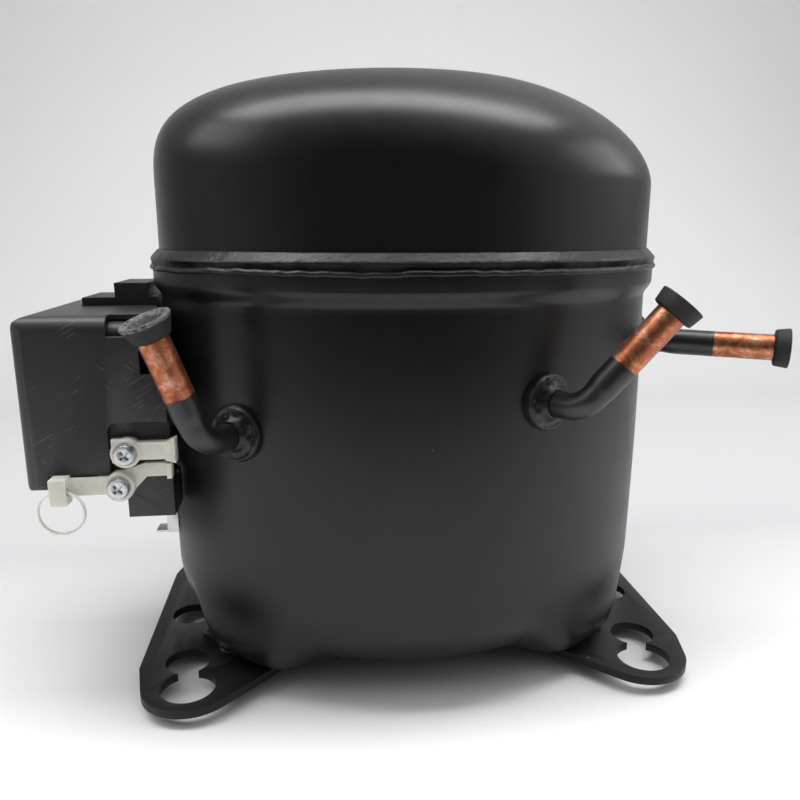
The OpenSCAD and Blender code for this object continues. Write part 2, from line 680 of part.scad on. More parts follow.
// Earthing tab on the shell below the box
tab_z = box_low - 24;
module ground_tab() {
    color("#b9bbbd") difference() {
        union() {
            block(-a_body - belly - 1.2, -a_body + 3, -16, -8, tab_z - 4, tab_z + 4);
            block(-a_body - belly - 5.5, -a_body - belly - 1, -15.2, -8.8, tab_z - 4, tab_z - 3.2);
        }
        shell_prism(0.05, tab_z - 10, tab_z + 10);
    }
}

// Motor
stator_len = shell_len - 2 * wall - 2 * room_x;
stator_wid = shell_wid - 2 * wall - 2 * room_y;
winding_out = 43;
winding_in = 31;
winding_top = 16;
winding_low = 15;
stack_top = stack_z + stack_h;
stack_cut = 22;
slots = 24;
coil_round = 5;
coil_wide = 11.6;
coil_thick = 2.8;
coil_slack = 0.2;
slot_mid = 36;
bolt_x = stator_len / 2 - 12;
bolt_y = stator_wid / 2 - 15;
bolt_r = 3;
module stack_outline() {
    x = stator_len / 2;
    y = stator_wid / 2;
    polygon([[x - stack_cut, -y], [x, -y + stack_cut], [x, y - stack_cut], [x - stack_cut, y],
        [-x + stack_cut, y], [-x, y - stack_cut], [-x, -y + stack_cut], [-x + stack_cut, -y]]);
}
module at_bolts() { for (x = [-bolt_x, bolt_x]) for (y = [-bolt_y, bolt_y]) translate([x, y]) children(); }
module stator_core() {
    color("#77797c") translate([0, 0, stack_z]) linear_extrude(stack_h) difference() {
        stack_outline();
        circle(r = rotor_d / 2 + air_gap);
        at_bolts() circle(r = bolt_r + slip);
        for (i = [0:slots - 1]) rotate(360 * (i + 0.5) / slots) translate([slot_mid, 0])
            square([coil_wide + 2 * coil_slack, coil_thick + 2 * coil_slack], center = true);
    }
}
coil_lap = 0.6;    // how far the slot coils reach into the end windings
module winding_ring(h) {
    inner = winding_in;
    outer = winding_out;
    r = coil_round;
    rotate_extrude() polygon([[inner, 0], [outer, 0], [outer, h - r], [outer - r * 0.3, h - r * 0.3],
        [outer - r, h], [inner + r, h], [inner + r * 0.3, h - r * 0.3], [inner, h - r]]);
}
module windings() {
    color("#a5502a") {
        translate([0, 0, stack_top]) winding_ring(winding_top);
        translate([0, 0, stack_z]) mirror([0, 0, 1]) winding_ring(winding_low);
        for (i = [0:slots - 1]) rotate(360 * (i + 0.5) / slots)
            translate([slot_mid, 0, stack_z + stack_h / 2])
                cube([coil_wide, coil_thick, stack_h + 2 * coil_lap], center = true);
    }
}
block_z = 118;
deck_z = 128;
nut_h = 4;
module stator_bolts() {
    color("#8a8c8f") at_bolts() {
        translate([0, 0, stack_z - nut_h]) cylinder(r = 5.5, h = nut_h, $fn = 6);
        translate([0, 0, stack_z]) cylinder(r = bolt_r, h = block_z - stack_z + 4);
    }
}
end_ring = 4;
rotor_z0 = stack_z;
module rotor_core() {
    color("#808285") translate([0, 0, rotor_z0]) pipe(rotor_d / 2, shaft_d / 2, stack_h);
}
module rotor_end_rings() {
    color("#b4b6b8") {
        translate([0, 0, rotor_z0 - end_ring]) pipe(rotor_d / 2 - 0.6, 15, end_ring);
        translate([0, 0, rotor_z0 + stack_h]) pipe(rotor_d / 2 - 0.6, 18, end_ring - 1);
    }
}
// Crankshaft: main shaft, counterweight web and crank pin, at its rest angle
washer_h = 1;
web_z = deck_z + washer_h;
web_h = 6;
web_r = 21;
shaft_low = 30;
pin_angle = 180 - crank_rest;
pin_top = bore_z + 6.5;
crank_pin = throw_r * [cos(pin_angle), sin(pin_angle)];
module crankshaft() {
    color("#9b9da0") {
        difference() {
            translate([0, 0, shaft_low]) cylinder(d = shaft_d, h = web_z - shaft_low);
            translate([0, 0, shaft_low - 1]) cylinder(r = 4, h = 16);
        }
        translate([0, 0, web_z]) {
            cylinder(r = 15, h = web_h);
            rotate(pin_angle) intersection() {
                cylinder(r = web_r, h = web_h);
                translate([-web_r - 6, -web_r, 0]) cube([web_r, 2 * web_r, web_h]);
            }
            translate([crank_pin[0], crank_pin[1], 0]) cylinder(d = pin_d + 4, h = web_h);
        }
        translate([crank_pin[0], crank_pin[1], web_z]) cylinder(d = pin_d, h = pin_top - web_z);
    }
}
module oil_pickup() {
    color("#9fa1a4") translate([0, 0, 13]) {
        rotate_extrude() polygon([[1.5, 0], [3, 0], [4, 6], [4, 29], [3.2, 29], [3.2, 6.5]]);
    }
}
module thrust_washer() { color("#c2b36a") translate([0, 0, deck_z + 0.1]) pipe(14, 9.6, washer_h - 0.2); }

// Crankcase: deck with four feet on the stack, main bearing and cylinder
bearing_r = 15;
bearing_z = 101;
run = 0.03;
foot_r = 6.5;
crown = 11;
skirt = 8;
cyl_x0 = throw_r + rod_len + crown - 0.2;
cyl_x1 = 25;
cyl_r = bore_d / 2 + 5;
flange_y = 20;
flange_t = 7;
deck_x = bolt_x + 8;
deck_y = bolt_y + 8;
module crankcase() {
    color("#6f7173") difference() {
        union() {
            translate([0, 0, block_z]) linear_extrude(deck_z - block_z)
                round_rect(-deck_x, deck_x, -deck_y, deck_y, 12);
            at_bolts() translate([0, 0, stack_top]) cylinder(r = foot_r, h = block_z - stack_top);
            translate([0, 0, bearing_z]) cylinder(r = bearing_r, h = block_z - bearing_z);
            translate([-cyl_x0, 0, bore_z]) rotate([0, 90, 0]) cylinder(r = cyl_r, h = cyl_x0 - cyl_x1);
            block(-cyl_x0, -cyl_x1, -cyl_r, cyl_r, deck_z - 1, bore_z);
            block(-cyl_x0, -cyl_x0 + flange_t, -flange_y, flange_y, deck_z - 1, bore_z + flange_y);
        }
        translate([0, 0, bearing_z - 1]) cylinder(r = shaft_d / 2 + run, h = 40);
        translate([-cyl_x0 - 1, 0, bore_z]) rotate([0, 90, 0]) cylinder(d = bore_d, h = cyl_x0);
        at_bolts() translate([0, 0, stack_top - 1]) cylinder(r = bolt_r + slip, h = block_z - stack_top + 5.2);
        for (s = [-1, 1]) for (z = [-1, 1]) translate([-cyl_x0 - 1, s * head_bolt, bore_z + z * head_bolt])
            rotate([0, 90, 0]) cylinder(r = head_bolt_r + slip, h = 30);
        for (x = [-34, 34]) translate([x, 0, block_z - 1]) cylinder(r = 7, h = 4);
    }
}
// Piston, wrist pin and rod at the crank's rest angle. The rod's large eye is set back by half the
// height of the arc that the crank pin runs through over its range.
swing = 18;
arc_half = throw_r * (1 - cos(swing)) / 2;
eye = (throw_r - arc_half) * [cos(pin_angle), sin(pin_angle)];
rod_tilt = asin(eye[1] / rod_len);
wrist_x = eye[0] - rod_len * cos(rod_tilt);
wrist_r = 4;
eye_play = 0.3;
module piston() {
    color("#8b8d90") difference() {
        translate([wrist_x - crown, 0, bore_z]) rotate([0, 90, 0])
            cylinder(r = bore_d / 2 - run, h = crown + skirt);
        translate([wrist_x - 7.2, 0, bore_z]) rotate([0, 90, 0]) cylinder(r = bore_d / 2 - 2.6, h = 20);
        translate([wrist_x, 0, bore_z - 20]) cylinder(r = wrist_r + run, h = 40);
    }
}
module wrist_pin() {
    color("#a9abad") translate([wrist_x, 0, bore_z - bore_d / 2 + 1.6]) pipe(wrist_r, 2, bore_d - 3.2);
}
rod_h = 11;
module connecting_rod() {
    color("#909295") translate([wrist_x, 0, bore_z]) rotate(rod_tilt) difference() {
        union() {
            cylinder(r = wrist_r + 2.5, h = rod_h - 3, center = true);
            translate([rod_len, 0, 0]) cylinder(d = pin_d + 7, h = rod_h, center = true);
            translate([rod_len / 2, 0, 0]) cube([rod_len - 12, 7, rod_h - 3], center = true);
        }
        cylinder(r = wrist_r + run, h = 40, center = true);
        translate([rod_len, 0, 0]) cylinder(r = pin_d / 2 + eye_play, h = 40, center = true);
    }
}
// Head, from the cylinder outward: gasket, valve plate, head, bolts
head_bolt = 15;
head_bolt_r = 2;
gasket_t = 0.5;
plate_h = 3.5;
head_t = 13;
module head_outline() {
    difference() {
        round_rect(-flange_y + 0.5, flange_y - 0.5, bore_z - flange_y + 3.5, bore_z + flange_y - 0.5, 4);
        for (y = [-1, 1]) for (z = [-1, 1]) translate([y * head_bolt, bore_z + z * head_bolt])
            circle(r = head_bolt_r + slip);
    }
}
module head_gasket() {
    color("#6b4a33") along_x(-cyl_x0 - gasket_t, -cyl_x0) difference() {
        head_outline();
        translate([0, bore_z]) circle(d = bore_d + 1);
    }
}
module valve_plate() {
    x = -cyl_x0 - gasket_t;
    color("#84868a") along_x(x - plate_h, x) difference() {
        head_outline();
        for (s = [-1, 1]) translate([s * 5, bore_z]) circle(r = 2.2);
    }
}
module cylinder_head() {
    x = -cyl_x0 - gasket_t - plate_h;
    color("#7b7d80") difference() {
        along_x(x - head_t, x) head_outline();
        along_x(x - head_t + 3, x + 1) for (s = [-1, 1]) translate([s * 6.3, bore_z]) {
            square([9, 18], center = true);
        }
    }
}
module head_bolts() {
    x = -cyl_x0 - gasket_t - plate_h - head_t;
    color("#8a8c8f") for (y = [-1, 1]) for (z = [-1, 1])
        translate([x, y * head_bolt, bore_z + z * head_bolt]) rotate([0, 90, 0]) {
            cylinder(r = head_bolt_r, h = head_t + plate_h + gasket_t + 12);
            translate([0, 0, -3]) cylinder(r = 3.6, h = 3, $fn = 6);
        }
}
// Suction muffler on the deck beside the cylinder, and discharge muffler behind it
muffler_h = 34;
muffler_len = 48;
muffler_y0 = -deck_y - 4;
muffler_y1 = -cyl_r - 5.5;
neck_r = 4;
neck_h = 8;
pot = [deck_x - 24, deck_y - 22];
pot_r = 11;
pot_h = 20;
pot_lid = 4;
seat_lap = 0.05;   // room under a piece that is bolted or clipped to the deck
module suction_muffler() {
    color("#d8d2c0") {
        translate([0, 0, deck_z + seat_lap]) linear_extrude(muffler_h)
            round_rect(-muffler_len, 0, muffler_y0, muffler_y1, 6);
        translate([-muffler_len + 6, muffler_y1 - 5.5, deck_z + muffler_h])
            cylinder(r = neck_r, h = neck_h);
    }
}
module discharge_muffler() {
    color("#7d7f82") translate([pot[0], pot[1], deck_z + seat_lap]) {
        cylinder(r = pot_r, h = pot_h);
        translate([0, 0, pot_h]) cylinder(r1 = pot_r, r2 = pot_r - pot_lid, h = pot_lid);
    }
}

// Round tube along a route: points of a smooth curve through the route's own points
function blend(p0, p1, p2, p3, t) = 0.5 * (2 * p1 + (p2 - p0) * t
    + (2 * p0 - 5 * p1 + 4 * p2 - p3) * t * t + (3 * p1 - p0 - 3 * p2 + p3) * t * t * t);
function smooth(route, steps) = let (n = len(route) - 1) [for (i = [0:n - 1]) for (k = [0:steps - 1])
    blend(route[max(i - 1, 0)], route[i], route[i + 1], route[min(i + 2, n)], k / steps), route[n]];
function side_of(t) = unit(abs(t[2]) < 0.9 ? cross(t, [0, 0, 1]) : cross(t, [1, 0, 0]));
function sweep_ring(c, t, r, sides) = let (u = side_of(t), v = cross(u, t))
    [for (i = [0:sides - 1]) c + r * (cos(360 * i / sides) * u + sin(360 * i / sides) * v)];
module sweep(points, r, sides) {
    n = len(points) - 1;
    skin([for (i = [0:n]) sweep_ring(points[i],
        unit(points[min(i + 1, n)] - points[max(i - 1, 0)]), r, sides)]);
}
// Discharge line inside the shell, from the muffler to the inner end of the stub
line_r = 2.5;
line_z = deck_z + 12;
line_end = discharge_path[0] - unit(discharge_path[1]) * (stub_in + gap);
loop_y = -b_body / 2;
shock_route = [[pot[0] + pot_r + gap, pot[1], line_z], [a_body - 37, pot[1], line_z],
    [a_body - 28, pot[1] / 2, line_z - 2], [a_body - 25, -8, line_z - 6],
    [a_body - 27, loop_y + 7, line_z - 10], [a_body - 25, loop_y, line_z - 16],
    [a_body - 21, loop_y + 5, line_end[2] + 3], [a_body - 17, line_end[1] - 5, line_end[2] + 0.5],
    line_end - unit(discharge_path[1]) * 3.4, line_end];
module shock_loop() { color("#a9683f") sweep(smooth(shock_route, 4), line_r, 8); }

// Suspension: studs on the shell's floor, coil springs, and caps under the stator bolts
seat_top = 12;
stud_r = 4.6;
stud_top = 19;
coil_r = 6.3;
wire_r = 0.9;
coils = 4.5;
cap_top = stack_z - nut_h - slip;
cap_low = cap_top - 2.4;
module inside_form(extra) {
    skin(concat(corner(wall + extra, inner_steps),
        [ring(wall + extra, seat_z + bottom_round)]));
}
module spring_seats() {
    color("#8f9194") intersection() {
        at_bolts() {
            cylinder(r = coil_r + 1.2, h = seat_top);
            cylinder(r = stud_r, h = stud_top);
        }
        inside_form(0.05);
    }
}
function coil_point(t, z0, z1) = [coil_r * cos(360 * coils * t), coil_r * sin(360 * coils * t),
    z0 + (z1 - z0) * t];
module suspension_springs() {
    n = round(coils * 10);
    color("#55575a") at_bolts() sweep([for (i = [0:n])
        coil_point(i / n, seat_top + wire_r + slip, cap_low - wire_r - slip)], wire_r, 6);
}
module spring_caps() {
    color("#c9c3b4") at_bolts() {
        translate([0, 0, cap_low]) cylinder(r = coil_r + 1.2, h = cap_top - cap_low);
        translate([0, 0, cap_low - 9]) cylinder(r = stud_r, h = 9);
    }
}
// Plug on the inner ends of the terminal pins
plug_half = 12;
plug_x = a_body + belly - wall - 3;
module motor_plug() {
    color("#cfc9ba") difference() {
        block(-plug_x, -plug_x + 11, -plug_half, plug_half, term_z - plug_half, term_z + plug_half);
        at_pins() translate([0, 0, -pin_in - 1]) cylinder(r = pin_r + slip, h = pin_in + 1);
    }
}

lower_shell();
upper_shell();
seam_weld();
base_plate();
foot_welds();
process_tube();
suction_tube();
discharge_tube();
process_collar();
suction_collar();
discharge_collar();
process_plug();
suction_plug();
discharge_plug();
terminal_body();
terminal_glass();
terminal_pins();
terminal_bracket();
start_relay();
overload_protector();
box_base();
box_cover();
clamp_body();
clamp_strap();
clamp_screws();
tie_ring();
ground_tab();
stator_core();
windings();
stator_bolts();
rotor_core();
rotor_end_rings();
crankshaft();
oil_pickup();
thrust_washer();
crankcase();
piston();
wrist_pin();
connecting_rod();
valve_plate();
cylinder_head();
head_gasket();
head_bolts();
suction_muffler();
discharge_muffler();
shock_loop();
spring_seats();
suspension_springs();
spring_caps();
motor_plug();
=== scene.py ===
# Dresses the hermetic compressor: a black enamelled drawn-steel shell on a stamped plate,
# plugged copper stubs, a moulded electrical box with a nylon cord clamp, and the pump and motor inside.
import math

import bmesh
import bpy
import numpy as np
from mathutils import Matrix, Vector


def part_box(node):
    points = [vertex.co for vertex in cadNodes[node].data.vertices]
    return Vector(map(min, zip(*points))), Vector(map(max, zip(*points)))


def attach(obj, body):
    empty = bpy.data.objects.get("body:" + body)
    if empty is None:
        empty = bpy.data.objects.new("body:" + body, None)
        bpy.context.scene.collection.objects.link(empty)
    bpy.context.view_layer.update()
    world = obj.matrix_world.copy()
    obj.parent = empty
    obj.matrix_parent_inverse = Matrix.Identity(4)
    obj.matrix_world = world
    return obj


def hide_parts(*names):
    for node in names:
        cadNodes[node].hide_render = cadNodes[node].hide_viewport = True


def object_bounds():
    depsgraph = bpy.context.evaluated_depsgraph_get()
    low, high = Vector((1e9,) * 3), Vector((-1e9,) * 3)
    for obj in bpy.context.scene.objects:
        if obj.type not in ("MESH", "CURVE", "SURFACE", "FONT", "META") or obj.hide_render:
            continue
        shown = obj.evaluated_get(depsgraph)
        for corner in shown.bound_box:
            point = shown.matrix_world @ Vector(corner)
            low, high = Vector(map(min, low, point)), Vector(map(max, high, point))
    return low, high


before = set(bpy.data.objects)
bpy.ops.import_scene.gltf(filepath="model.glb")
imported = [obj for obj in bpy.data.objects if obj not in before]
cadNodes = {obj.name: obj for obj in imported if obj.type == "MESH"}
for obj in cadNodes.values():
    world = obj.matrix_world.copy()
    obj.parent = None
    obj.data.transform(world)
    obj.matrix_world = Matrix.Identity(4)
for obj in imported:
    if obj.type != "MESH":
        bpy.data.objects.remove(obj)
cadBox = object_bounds()
mm = 0.001


def toLinear(hexText):  # sRGB hex to the linear colour that the sockets take
    parts = [int(hexText[i:i + 2], 16) / 255 for i in (1, 3, 5)]
    return tuple(c / 12.92 if c <= 0.04045 else ((c + 0.055) / 1.055) ** 2.4 for c in parts) + (1.0,)


def perMm(size):  # texture scale for a feature of that many millimetres, on coordinates in metres
    return 1000 / size


def addNode(tree, kind, values=None, links=None, **settings):  # a shader node, set and linked
    node = tree.nodes.new("ShaderNode" + kind)
    for key, value in settings.items():
        setattr(node, key, value)
    for key, value in (values or {}).items():
        node.inputs[key].default_value = value
    for key, source in (links or {}).items():
        tree.links.new(source if hasattr(source, "is_linked") else source.outputs[0], node.inputs[key])
    return node


def wire(tree, shader, **sources):  # leads each source to the shader's socket of that name
    for key, source in sources.items():
        output = source if hasattr(source, "is_linked") else source.outputs[0]
        tree.links.new(output, shader.inputs[key.replace("_", " ")])


def newMaterial(name, **uniform):  # a Principled material, its tree, its shader and the object coordinate
    material = bpy.data.materials.new(name)
    material.use_nodes = True
    tree = material.node_tree
    shader = tree.nodes["Principled BSDF"]
    for key, value in uniform.items():
        shader.inputs[key.replace("_", " ")].default_value = value
    where = addNode(tree, "TexCoord").outputs["Object"]
    return material, tree, shader, where


def latticeValue(ix, iy, iz, seed):  # a fixed pseudo-random number in -1..1 for each lattice corner
    mixed = (ix * 374761393 + iy * 668265263 + iz * 1440662683 + seed * 974711) & 0xFFFFFFFF
    mixed = ((mixed ^ (mixed >> 13)) * 1274126177) & 0xFFFFFFFF
    return ((mixed ^ (mixed >> 16)) & 0xFFFF) / 32767.5 - 1


def noiseAt(points, cell, seed):  # value noise: corner values blended smoothly across cells of that size
    scaled = points / cell
    base = np.floor(scaled).astype(np.int64)
    share = scaled - base
    w = share * share * (3 - 2 * share)
    total = np.zeros(points.shape[:-1])
    for dx in (0, 1):
        for dy in (0, 1):
            for dz in (0, 1):
                weight = ((w[..., 0] if dx else 1 - w[..., 0]) * (w[..., 1] if dy else 1 - w[..., 1])
                          * (w[..., 2] if dz else 1 - w[..., 2]))
                total += weight * latticeValue(base[..., 0] + dx, base[..., 1] + dy, base[..., 2] + dz, seed)
    return total


def dress(obj, material, body, slotName, *nodeNames):  # finish, body and the CAD nodes it stands for
    obj.data.materials.clear()
    obj.data.materials.append(material)
    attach(obj, body)
    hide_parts(*nodeNames)
    return obj


def heldVolume(points, faces):  # six times the volume under faces that are fanned from their first corners
    corners = [points[column] for column in faces.T]
    return sum(np.einsum("ij,ij->", corners[0], np.cross(b, c)) for b, c in zip(corners[1:], corners[2:]))


def gridPiece(name, grids, loop=False, extra=None):
    # Each grid is rows x columns x 3. Columns wrap round. Rows wrap too where loop is set, and are
    # otherwise closed by a fan at each end. The volume decides which way the faces turn. extra holds
    # attributes, whose values are given for the grids' points in turn
    verts, faces, start = [], [], 0
    for grid in grids:
        rows, cols = grid.shape[:2]
        index = start + np.arange(rows * cols).reshape(rows, cols)
        right = np.roll(index, -1, axis=1)
        below, belowRight = np.roll(index, -1, axis=0), np.roll(right, -1, axis=0)
        quads = np.stack([index, below, belowRight, right], -1)[:rows if loop else rows - 1].reshape(-1, 4)
        points = grid.reshape(-1, 3)
        tris = np.zeros((0, 3), dtype=np.int64)
        if not loop:
            ends = np.stack([grid[0].mean(0), grid[-1].mean(0)])
            points = np.concatenate([points, ends])
            first, last = start + rows * cols, start + rows * cols + 1
            tris = np.concatenate([
                np.stack([np.full(cols, first), index[0], right[0]], -1),
                np.stack([np.full(cols, last), right[-1], index[-1]], -1)])
        if heldVolume(points, quads - start) + heldVolume(points, tris - start) < 0:
            quads, tris = quads[:, ::-1], tris[:, ::-1]
        faces += quads.tolist() + tris.tolist()
        verts.append(points)
        start += len(points)
    mesh = bpy.data.meshes.new(name)
    mesh.from_pydata(np.concatenate(verts).tolist(), [], faces)
    for key, values in (extra or {}).items():
        layer = mesh.attributes.new(key, "FLOAT", "POINT")
        padded = np.zeros(start)
        padded[:len(values)] = values
        layer.data.foreach_set("value", padded)
    mesh.update()
    mesh.shade_smooth()
    obj = bpy.data.objects.new(name, mesh)
    bpy.context.scene.collection.objects.link(obj)
    return obj


def localFrame(axis, side):  # three unit vectors, with z along axis and x toward side
    z = np.array(axis, float) / np.linalg.norm(axis)
    y = np.cross(z, side)
    y /= np.linalg.norm(y)
    return np.stack([np.cross(y, z), y, z])


def turned(profile, at, axis, around):
    # Surface of revolution: each (radius, height) of the profile runs round the axis through at
    profile = np.array(profile, float) * mm
    angle = np.linspace(0, 2 * np.pi, around, endpoint=False)
    x, y, z = localFrame(axis, (0, 0, 1) if abs(axis[2]) < 0.9 else (1, 0, 0))
    ring = np.cos(angle)[:, None] * x + np.sin(angle)[:, None] * y
    return np.array(at) * mm + profile[:, 0, None, None] * ring + profile[:, 1, None, None] * z


def rounded(corners, radii, steps):
    # A polyline with its corners replaced by short curves: each curve is the quadratic blend
    # between the points where it leaves the two edges
    corners = np.array(corners, float)
    mostOfEdge = 0.45  # a curve takes no more than this share of an edge
    line = [corners[:1]]
    share = np.linspace(0, 1, steps)[:, None]
    for i in range(1, len(corners) - 1):
        radius = radii[i] if np.ndim(radii) else radii
        back, ahead = corners[i - 1] - corners[i], corners[i + 1] - corners[i]
        backLong, aheadLong = np.linalg.norm(back), np.linalg.norm(ahead)
        leave = corners[i] + back / backLong * min(radius, backLong * mostOfEdge)
        join = corners[i] + ahead / aheadLong * min(radius, aheadLong * mostOfEdge)
        line.append((1 - share) ** 2 * leave + 2 * share * (1 - share) * corners[i] + share ** 2 * join)
    line.append(corners[-1:])
    return np.concatenate(line)


roundedEdges = {"mergeWithin": 2e-6, "flatWithin": 0.8, "segments": 3, "sharperThan": 28}  # metres, degrees


def roundedCopy(nodeName, name, width):
    # A merged copy of the CAD solid with its edges rounded off by a live bevel
    mesh = cadNodes[nodeName].data.copy()
    mesh.name = name
    work = bmesh.new()
    work.from_mesh(mesh)
    bmesh.ops.remove_doubles(work, verts=work.verts, dist=roundedEdges["mergeWithin"])
    bmesh.ops.dissolve_limit(work, angle_limit=math.radians(roundedEdges["flatWithin"]), verts=work.verts,
                             edges=work.edges)
    work.to_mesh(mesh)
    work.free()
    mesh.shade_smooth()
    obj = bpy.data.objects.new(name, mesh)
    bpy.context.scene.collection.objects.link(obj)
    bevel = obj.modifiers.new("edges", "BEVEL")
    bevel.width, bevel.segments = width * mm, roundedEdges["segments"]
    bevel.limit_method, bevel.angle_limit = "ANGLE", math.radians(roundedEdges["sharperThan"])
    bevel.harden_normals = True
    return obj


# Camera, floor and light
view = {"at": (-0.0354, -0.2844, 0.1571), "down": 12.95, "right": 6.57, "lens": 33.12, "sensor": 36,
        "clipStart": 0.01, "clipEnd": 20}
camera = bpy.data.objects.new("camera", bpy.data.cameras.new("camera"))
bpy.context.scene.collection.objects.link(camera)
camera.location = view["at"]
camera.rotation_euler = (math.radians(90 - view["down"]), 0, -math.radians(view["right"]))
camera.data.lens, camera.data.sensor_width = view["lens"], view["sensor"]
camera.data.clip_start, camera.data.clip_end = view["clipStart"], view["clipEnd"]
bpy.context.scene.camera = camera
bpy.context.scene.view_settings.view_transform = "Standard"

studio = {
    # Painted tone of the paper by its distance behind the object's middle, in metres: painted shade grey under and
    # behind the object, paler in front and up the wall
    "paperPaintedShade": ((-0.13, "#fefefe"), (-0.03, "#dfdfdf"), (0.08, "#b7b7b8"), (0.40, "#bbbbbb"), (0.80, "#e2e2e2"),
              (1.15, "#f4f4f4")),
    # Painted shade on the left and painted light on the right: the paper's tone is scaled by these shares
    "paintedShadeLeft": 0.93, "paintedLightRight": 1.12, "leftX": -0.6, "rightX": 0.75,  # share of that tone on each side
    "frontEdge": 0.45, "wallFoot": 0.70, "curve": 0.45, "wallTop": 0.85, "halfWidth": 4.0, "curveSteps": 24,
    "clearance": 0.00005,  # between the floor and the object's lowest point
}
standZ = cadBox[0][2] - studio["clearance"]
turn = np.linspace(0, np.pi / 2, studio["curveSteps"])
sweepY = np.concatenate([[-studio["frontEdge"]], studio["wallFoot"] + studio["curve"] * np.sin(turn),
                         [studio["wallFoot"] + studio["curve"]]])
sweepZ = np.concatenate([[0.0], studio["curve"] * (1 - np.cos(turn)), [studio["wallTop"]]]) + standZ
backdropMesh = bpy.data.meshes.new("backdrop")
half = studio["halfWidth"]
backdropMesh.from_pydata([(x, y, z) for y, z in zip(sweepY, sweepZ) for x in (-half, half)], [],
                         [(2 * i, 2 * i + 1, 2 * i + 3, 2 * i + 2) for i in range(len(sweepY) - 1)])
backdropMesh.shade_smooth()
backdrop = bpy.data.objects.new("backdrop", backdropMesh)
bpy.context.scene.collection.objects.link(backdrop)
# Backdrop paper with painted light and shade: white in front, painted shade grey under and behind the
# object, paler again up the wall and painted lighter toward the right
paperPaintedShade, tree, shader, where = newMaterial("studioPaperPaintedShade", Roughness=0.55)
place = addNode(tree, "SeparateXYZ", links={"Vector": where})
nearest, furthest = studio["paperPaintedShade"][0][0], studio["paperPaintedShade"][-1][0]
along = addNode(tree, "MapRange", {"From Min": nearest, "From Max": furthest}, {"Value": place.outputs["Y"]})
grade = addNode(tree, "ValToRGB", links={"Fac": along})
stops = grade.color_ramp.elements
for i, (y, colour) in enumerate(studio["paperPaintedShade"]):
    stop = stops[0] if i == 0 else stops[-1] if i == len(studio["paperPaintedShade"]) - 1 else stops.new(0.5)
    stop.position = (y - nearest) / (furthest - nearest)
    stop.color = toLinear(colour)
sides = {"From Min": studio["leftX"], "From Max": studio["rightX"],
         "To Min": studio["paintedShadeLeft"], "To Max": studio["paintedLightRight"]}
side = addNode(tree, "MapRange", sides, {"Value": place.outputs["X"]})
graded = addNode(tree, "Mix", {0: 1.0}, {6: grade, 7: side}, data_type="RGBA", blend_type="MULTIPLY")
paperTooth = addNode(tree, "TexNoise", {"Scale": perMm(3), "Detail": 3}, {"Vector": where})
paperRelief = addNode(tree, "Bump", {"Strength": 0.02, "Distance": 0.001}, {"Height": paperTooth})
wire(tree, shader, Base_Color=graded.outputs[2], Normal=paperRelief)
backdrop.data.materials.append(paperPaintedShade)

# The room: dim on the left, paler on the right and dark behind the camera, while the camera sees it even
room = {"left": 0.32, "right": 0.85, "across": 0.9, "front": 0.06, "frontFrom": -0.45, "frontTo": -0.88,
        "light": "#fbfbfd", "seen": "#dadadc"}
world = bpy.data.worlds.new("studioRoom")
bpy.context.scene.world = world
world.use_nodes = True
tree = world.node_tree
tree.nodes.clear()
look = addNode(tree, "SeparateXYZ", links={"Vector": addNode(tree, "TexCoord").outputs["Generated"]})
sides = {"From Min": -room["across"], "From Max": room["across"], "To Min": room["left"], "To Max": room["right"]}
across = addNode(tree, "MapRange", sides, {"Value": look.outputs["X"]})
toFront = addNode(tree, "MapRange", {"From Min": room["frontFrom"], "From Max": room["frontTo"]},
                  {"Value": look.outputs["Y"]}, interpolation_type="SMOOTHSTEP")
level = addNode(tree, "Mix", {3: room["front"]}, {0: toFront, 2: across}, data_type="FLOAT")
roomLight = addNode(tree, "Background", {"Color": toLinear(room["light"])}, {"Strength": level})
seen = addNode(tree, "Background", {"Color": toLinear(room["seen"]), "Strength": 1.0})
rays = addNode(tree, "LightPath")
both = addNode(tree, "MixShader", links={0: rays.outputs["Is Camera Ray"], 1: roomLight, 2: seen})
addNode(tree, "OutputWorld", links={"Surface": both})

lamps = {  # place, aim, width and height in metres, and watts
    "overheadStrip": ((-0.05, 0.01, 1.00), (-0.05, 0.009, 0), 1.5, 0.33, 14.5),
    "leftPanel": ((-0.80, -0.10, 0.62), (0, 0, 0.10), 0.5, 0.40, 1.9),
    "rightPanel": ((0.85, 0.00, 0.52), (0, 0, 0.10), 0.5, 0.40, 1.6),
}
for name, (at, aim, width, height, watts) in lamps.items():
    lamp = bpy.data.lights.new(name, "AREA")
    lamp.shape, lamp.size, lamp.size_y, lamp.energy = "RECTANGLE", width, height, watts
    lampObject = bpy.data.objects.new(name, lamp)
    bpy.context.scene.collection.objects.link(lampObject)
    lampObject.location = at
    z = np.array(at, float) - np.array(aim, float)
    z /= np.linalg.norm(z)
    x = np.cross((0, 0, 1), z)
    x /= np.linalg.norm(x)
    lampObject.rotation_euler = Matrix(np.stack([x, np.cross(z, x), z]).T.tolist()).to_euler()
print("stage: camera, backdrop and light")


def flatFinish(name, colour, dark, size, depth, **uniform):
    # A moulded, cast or drawn surface: two tones mottled at the given size and a matching fine bump
    material, tree, shader, where = newMaterial(name, **uniform)
    mottle = addNode(tree, "TexNoise", {"Scale": perMm(size), "Detail": 4, "Roughness": 0.6}, {"Vector": where})
    tone = addNode(tree, "Mix", {6: toLinear(dark), 7: toLinear(colour)}, {0: mottle}, data_type="RGBA")
    grain = addNode(tree, "TexNoise", {"Scale": perMm(size * 0.3), "Detail": 3}, {"Vector": where})
    relief = addNode(tree, "Bump", {"Strength": 0.5, "Distance": depth * mm}, {"Height": grain})
    wire(tree, shader, Base_Color=tone.outputs[2], Normal=relief)
    return material


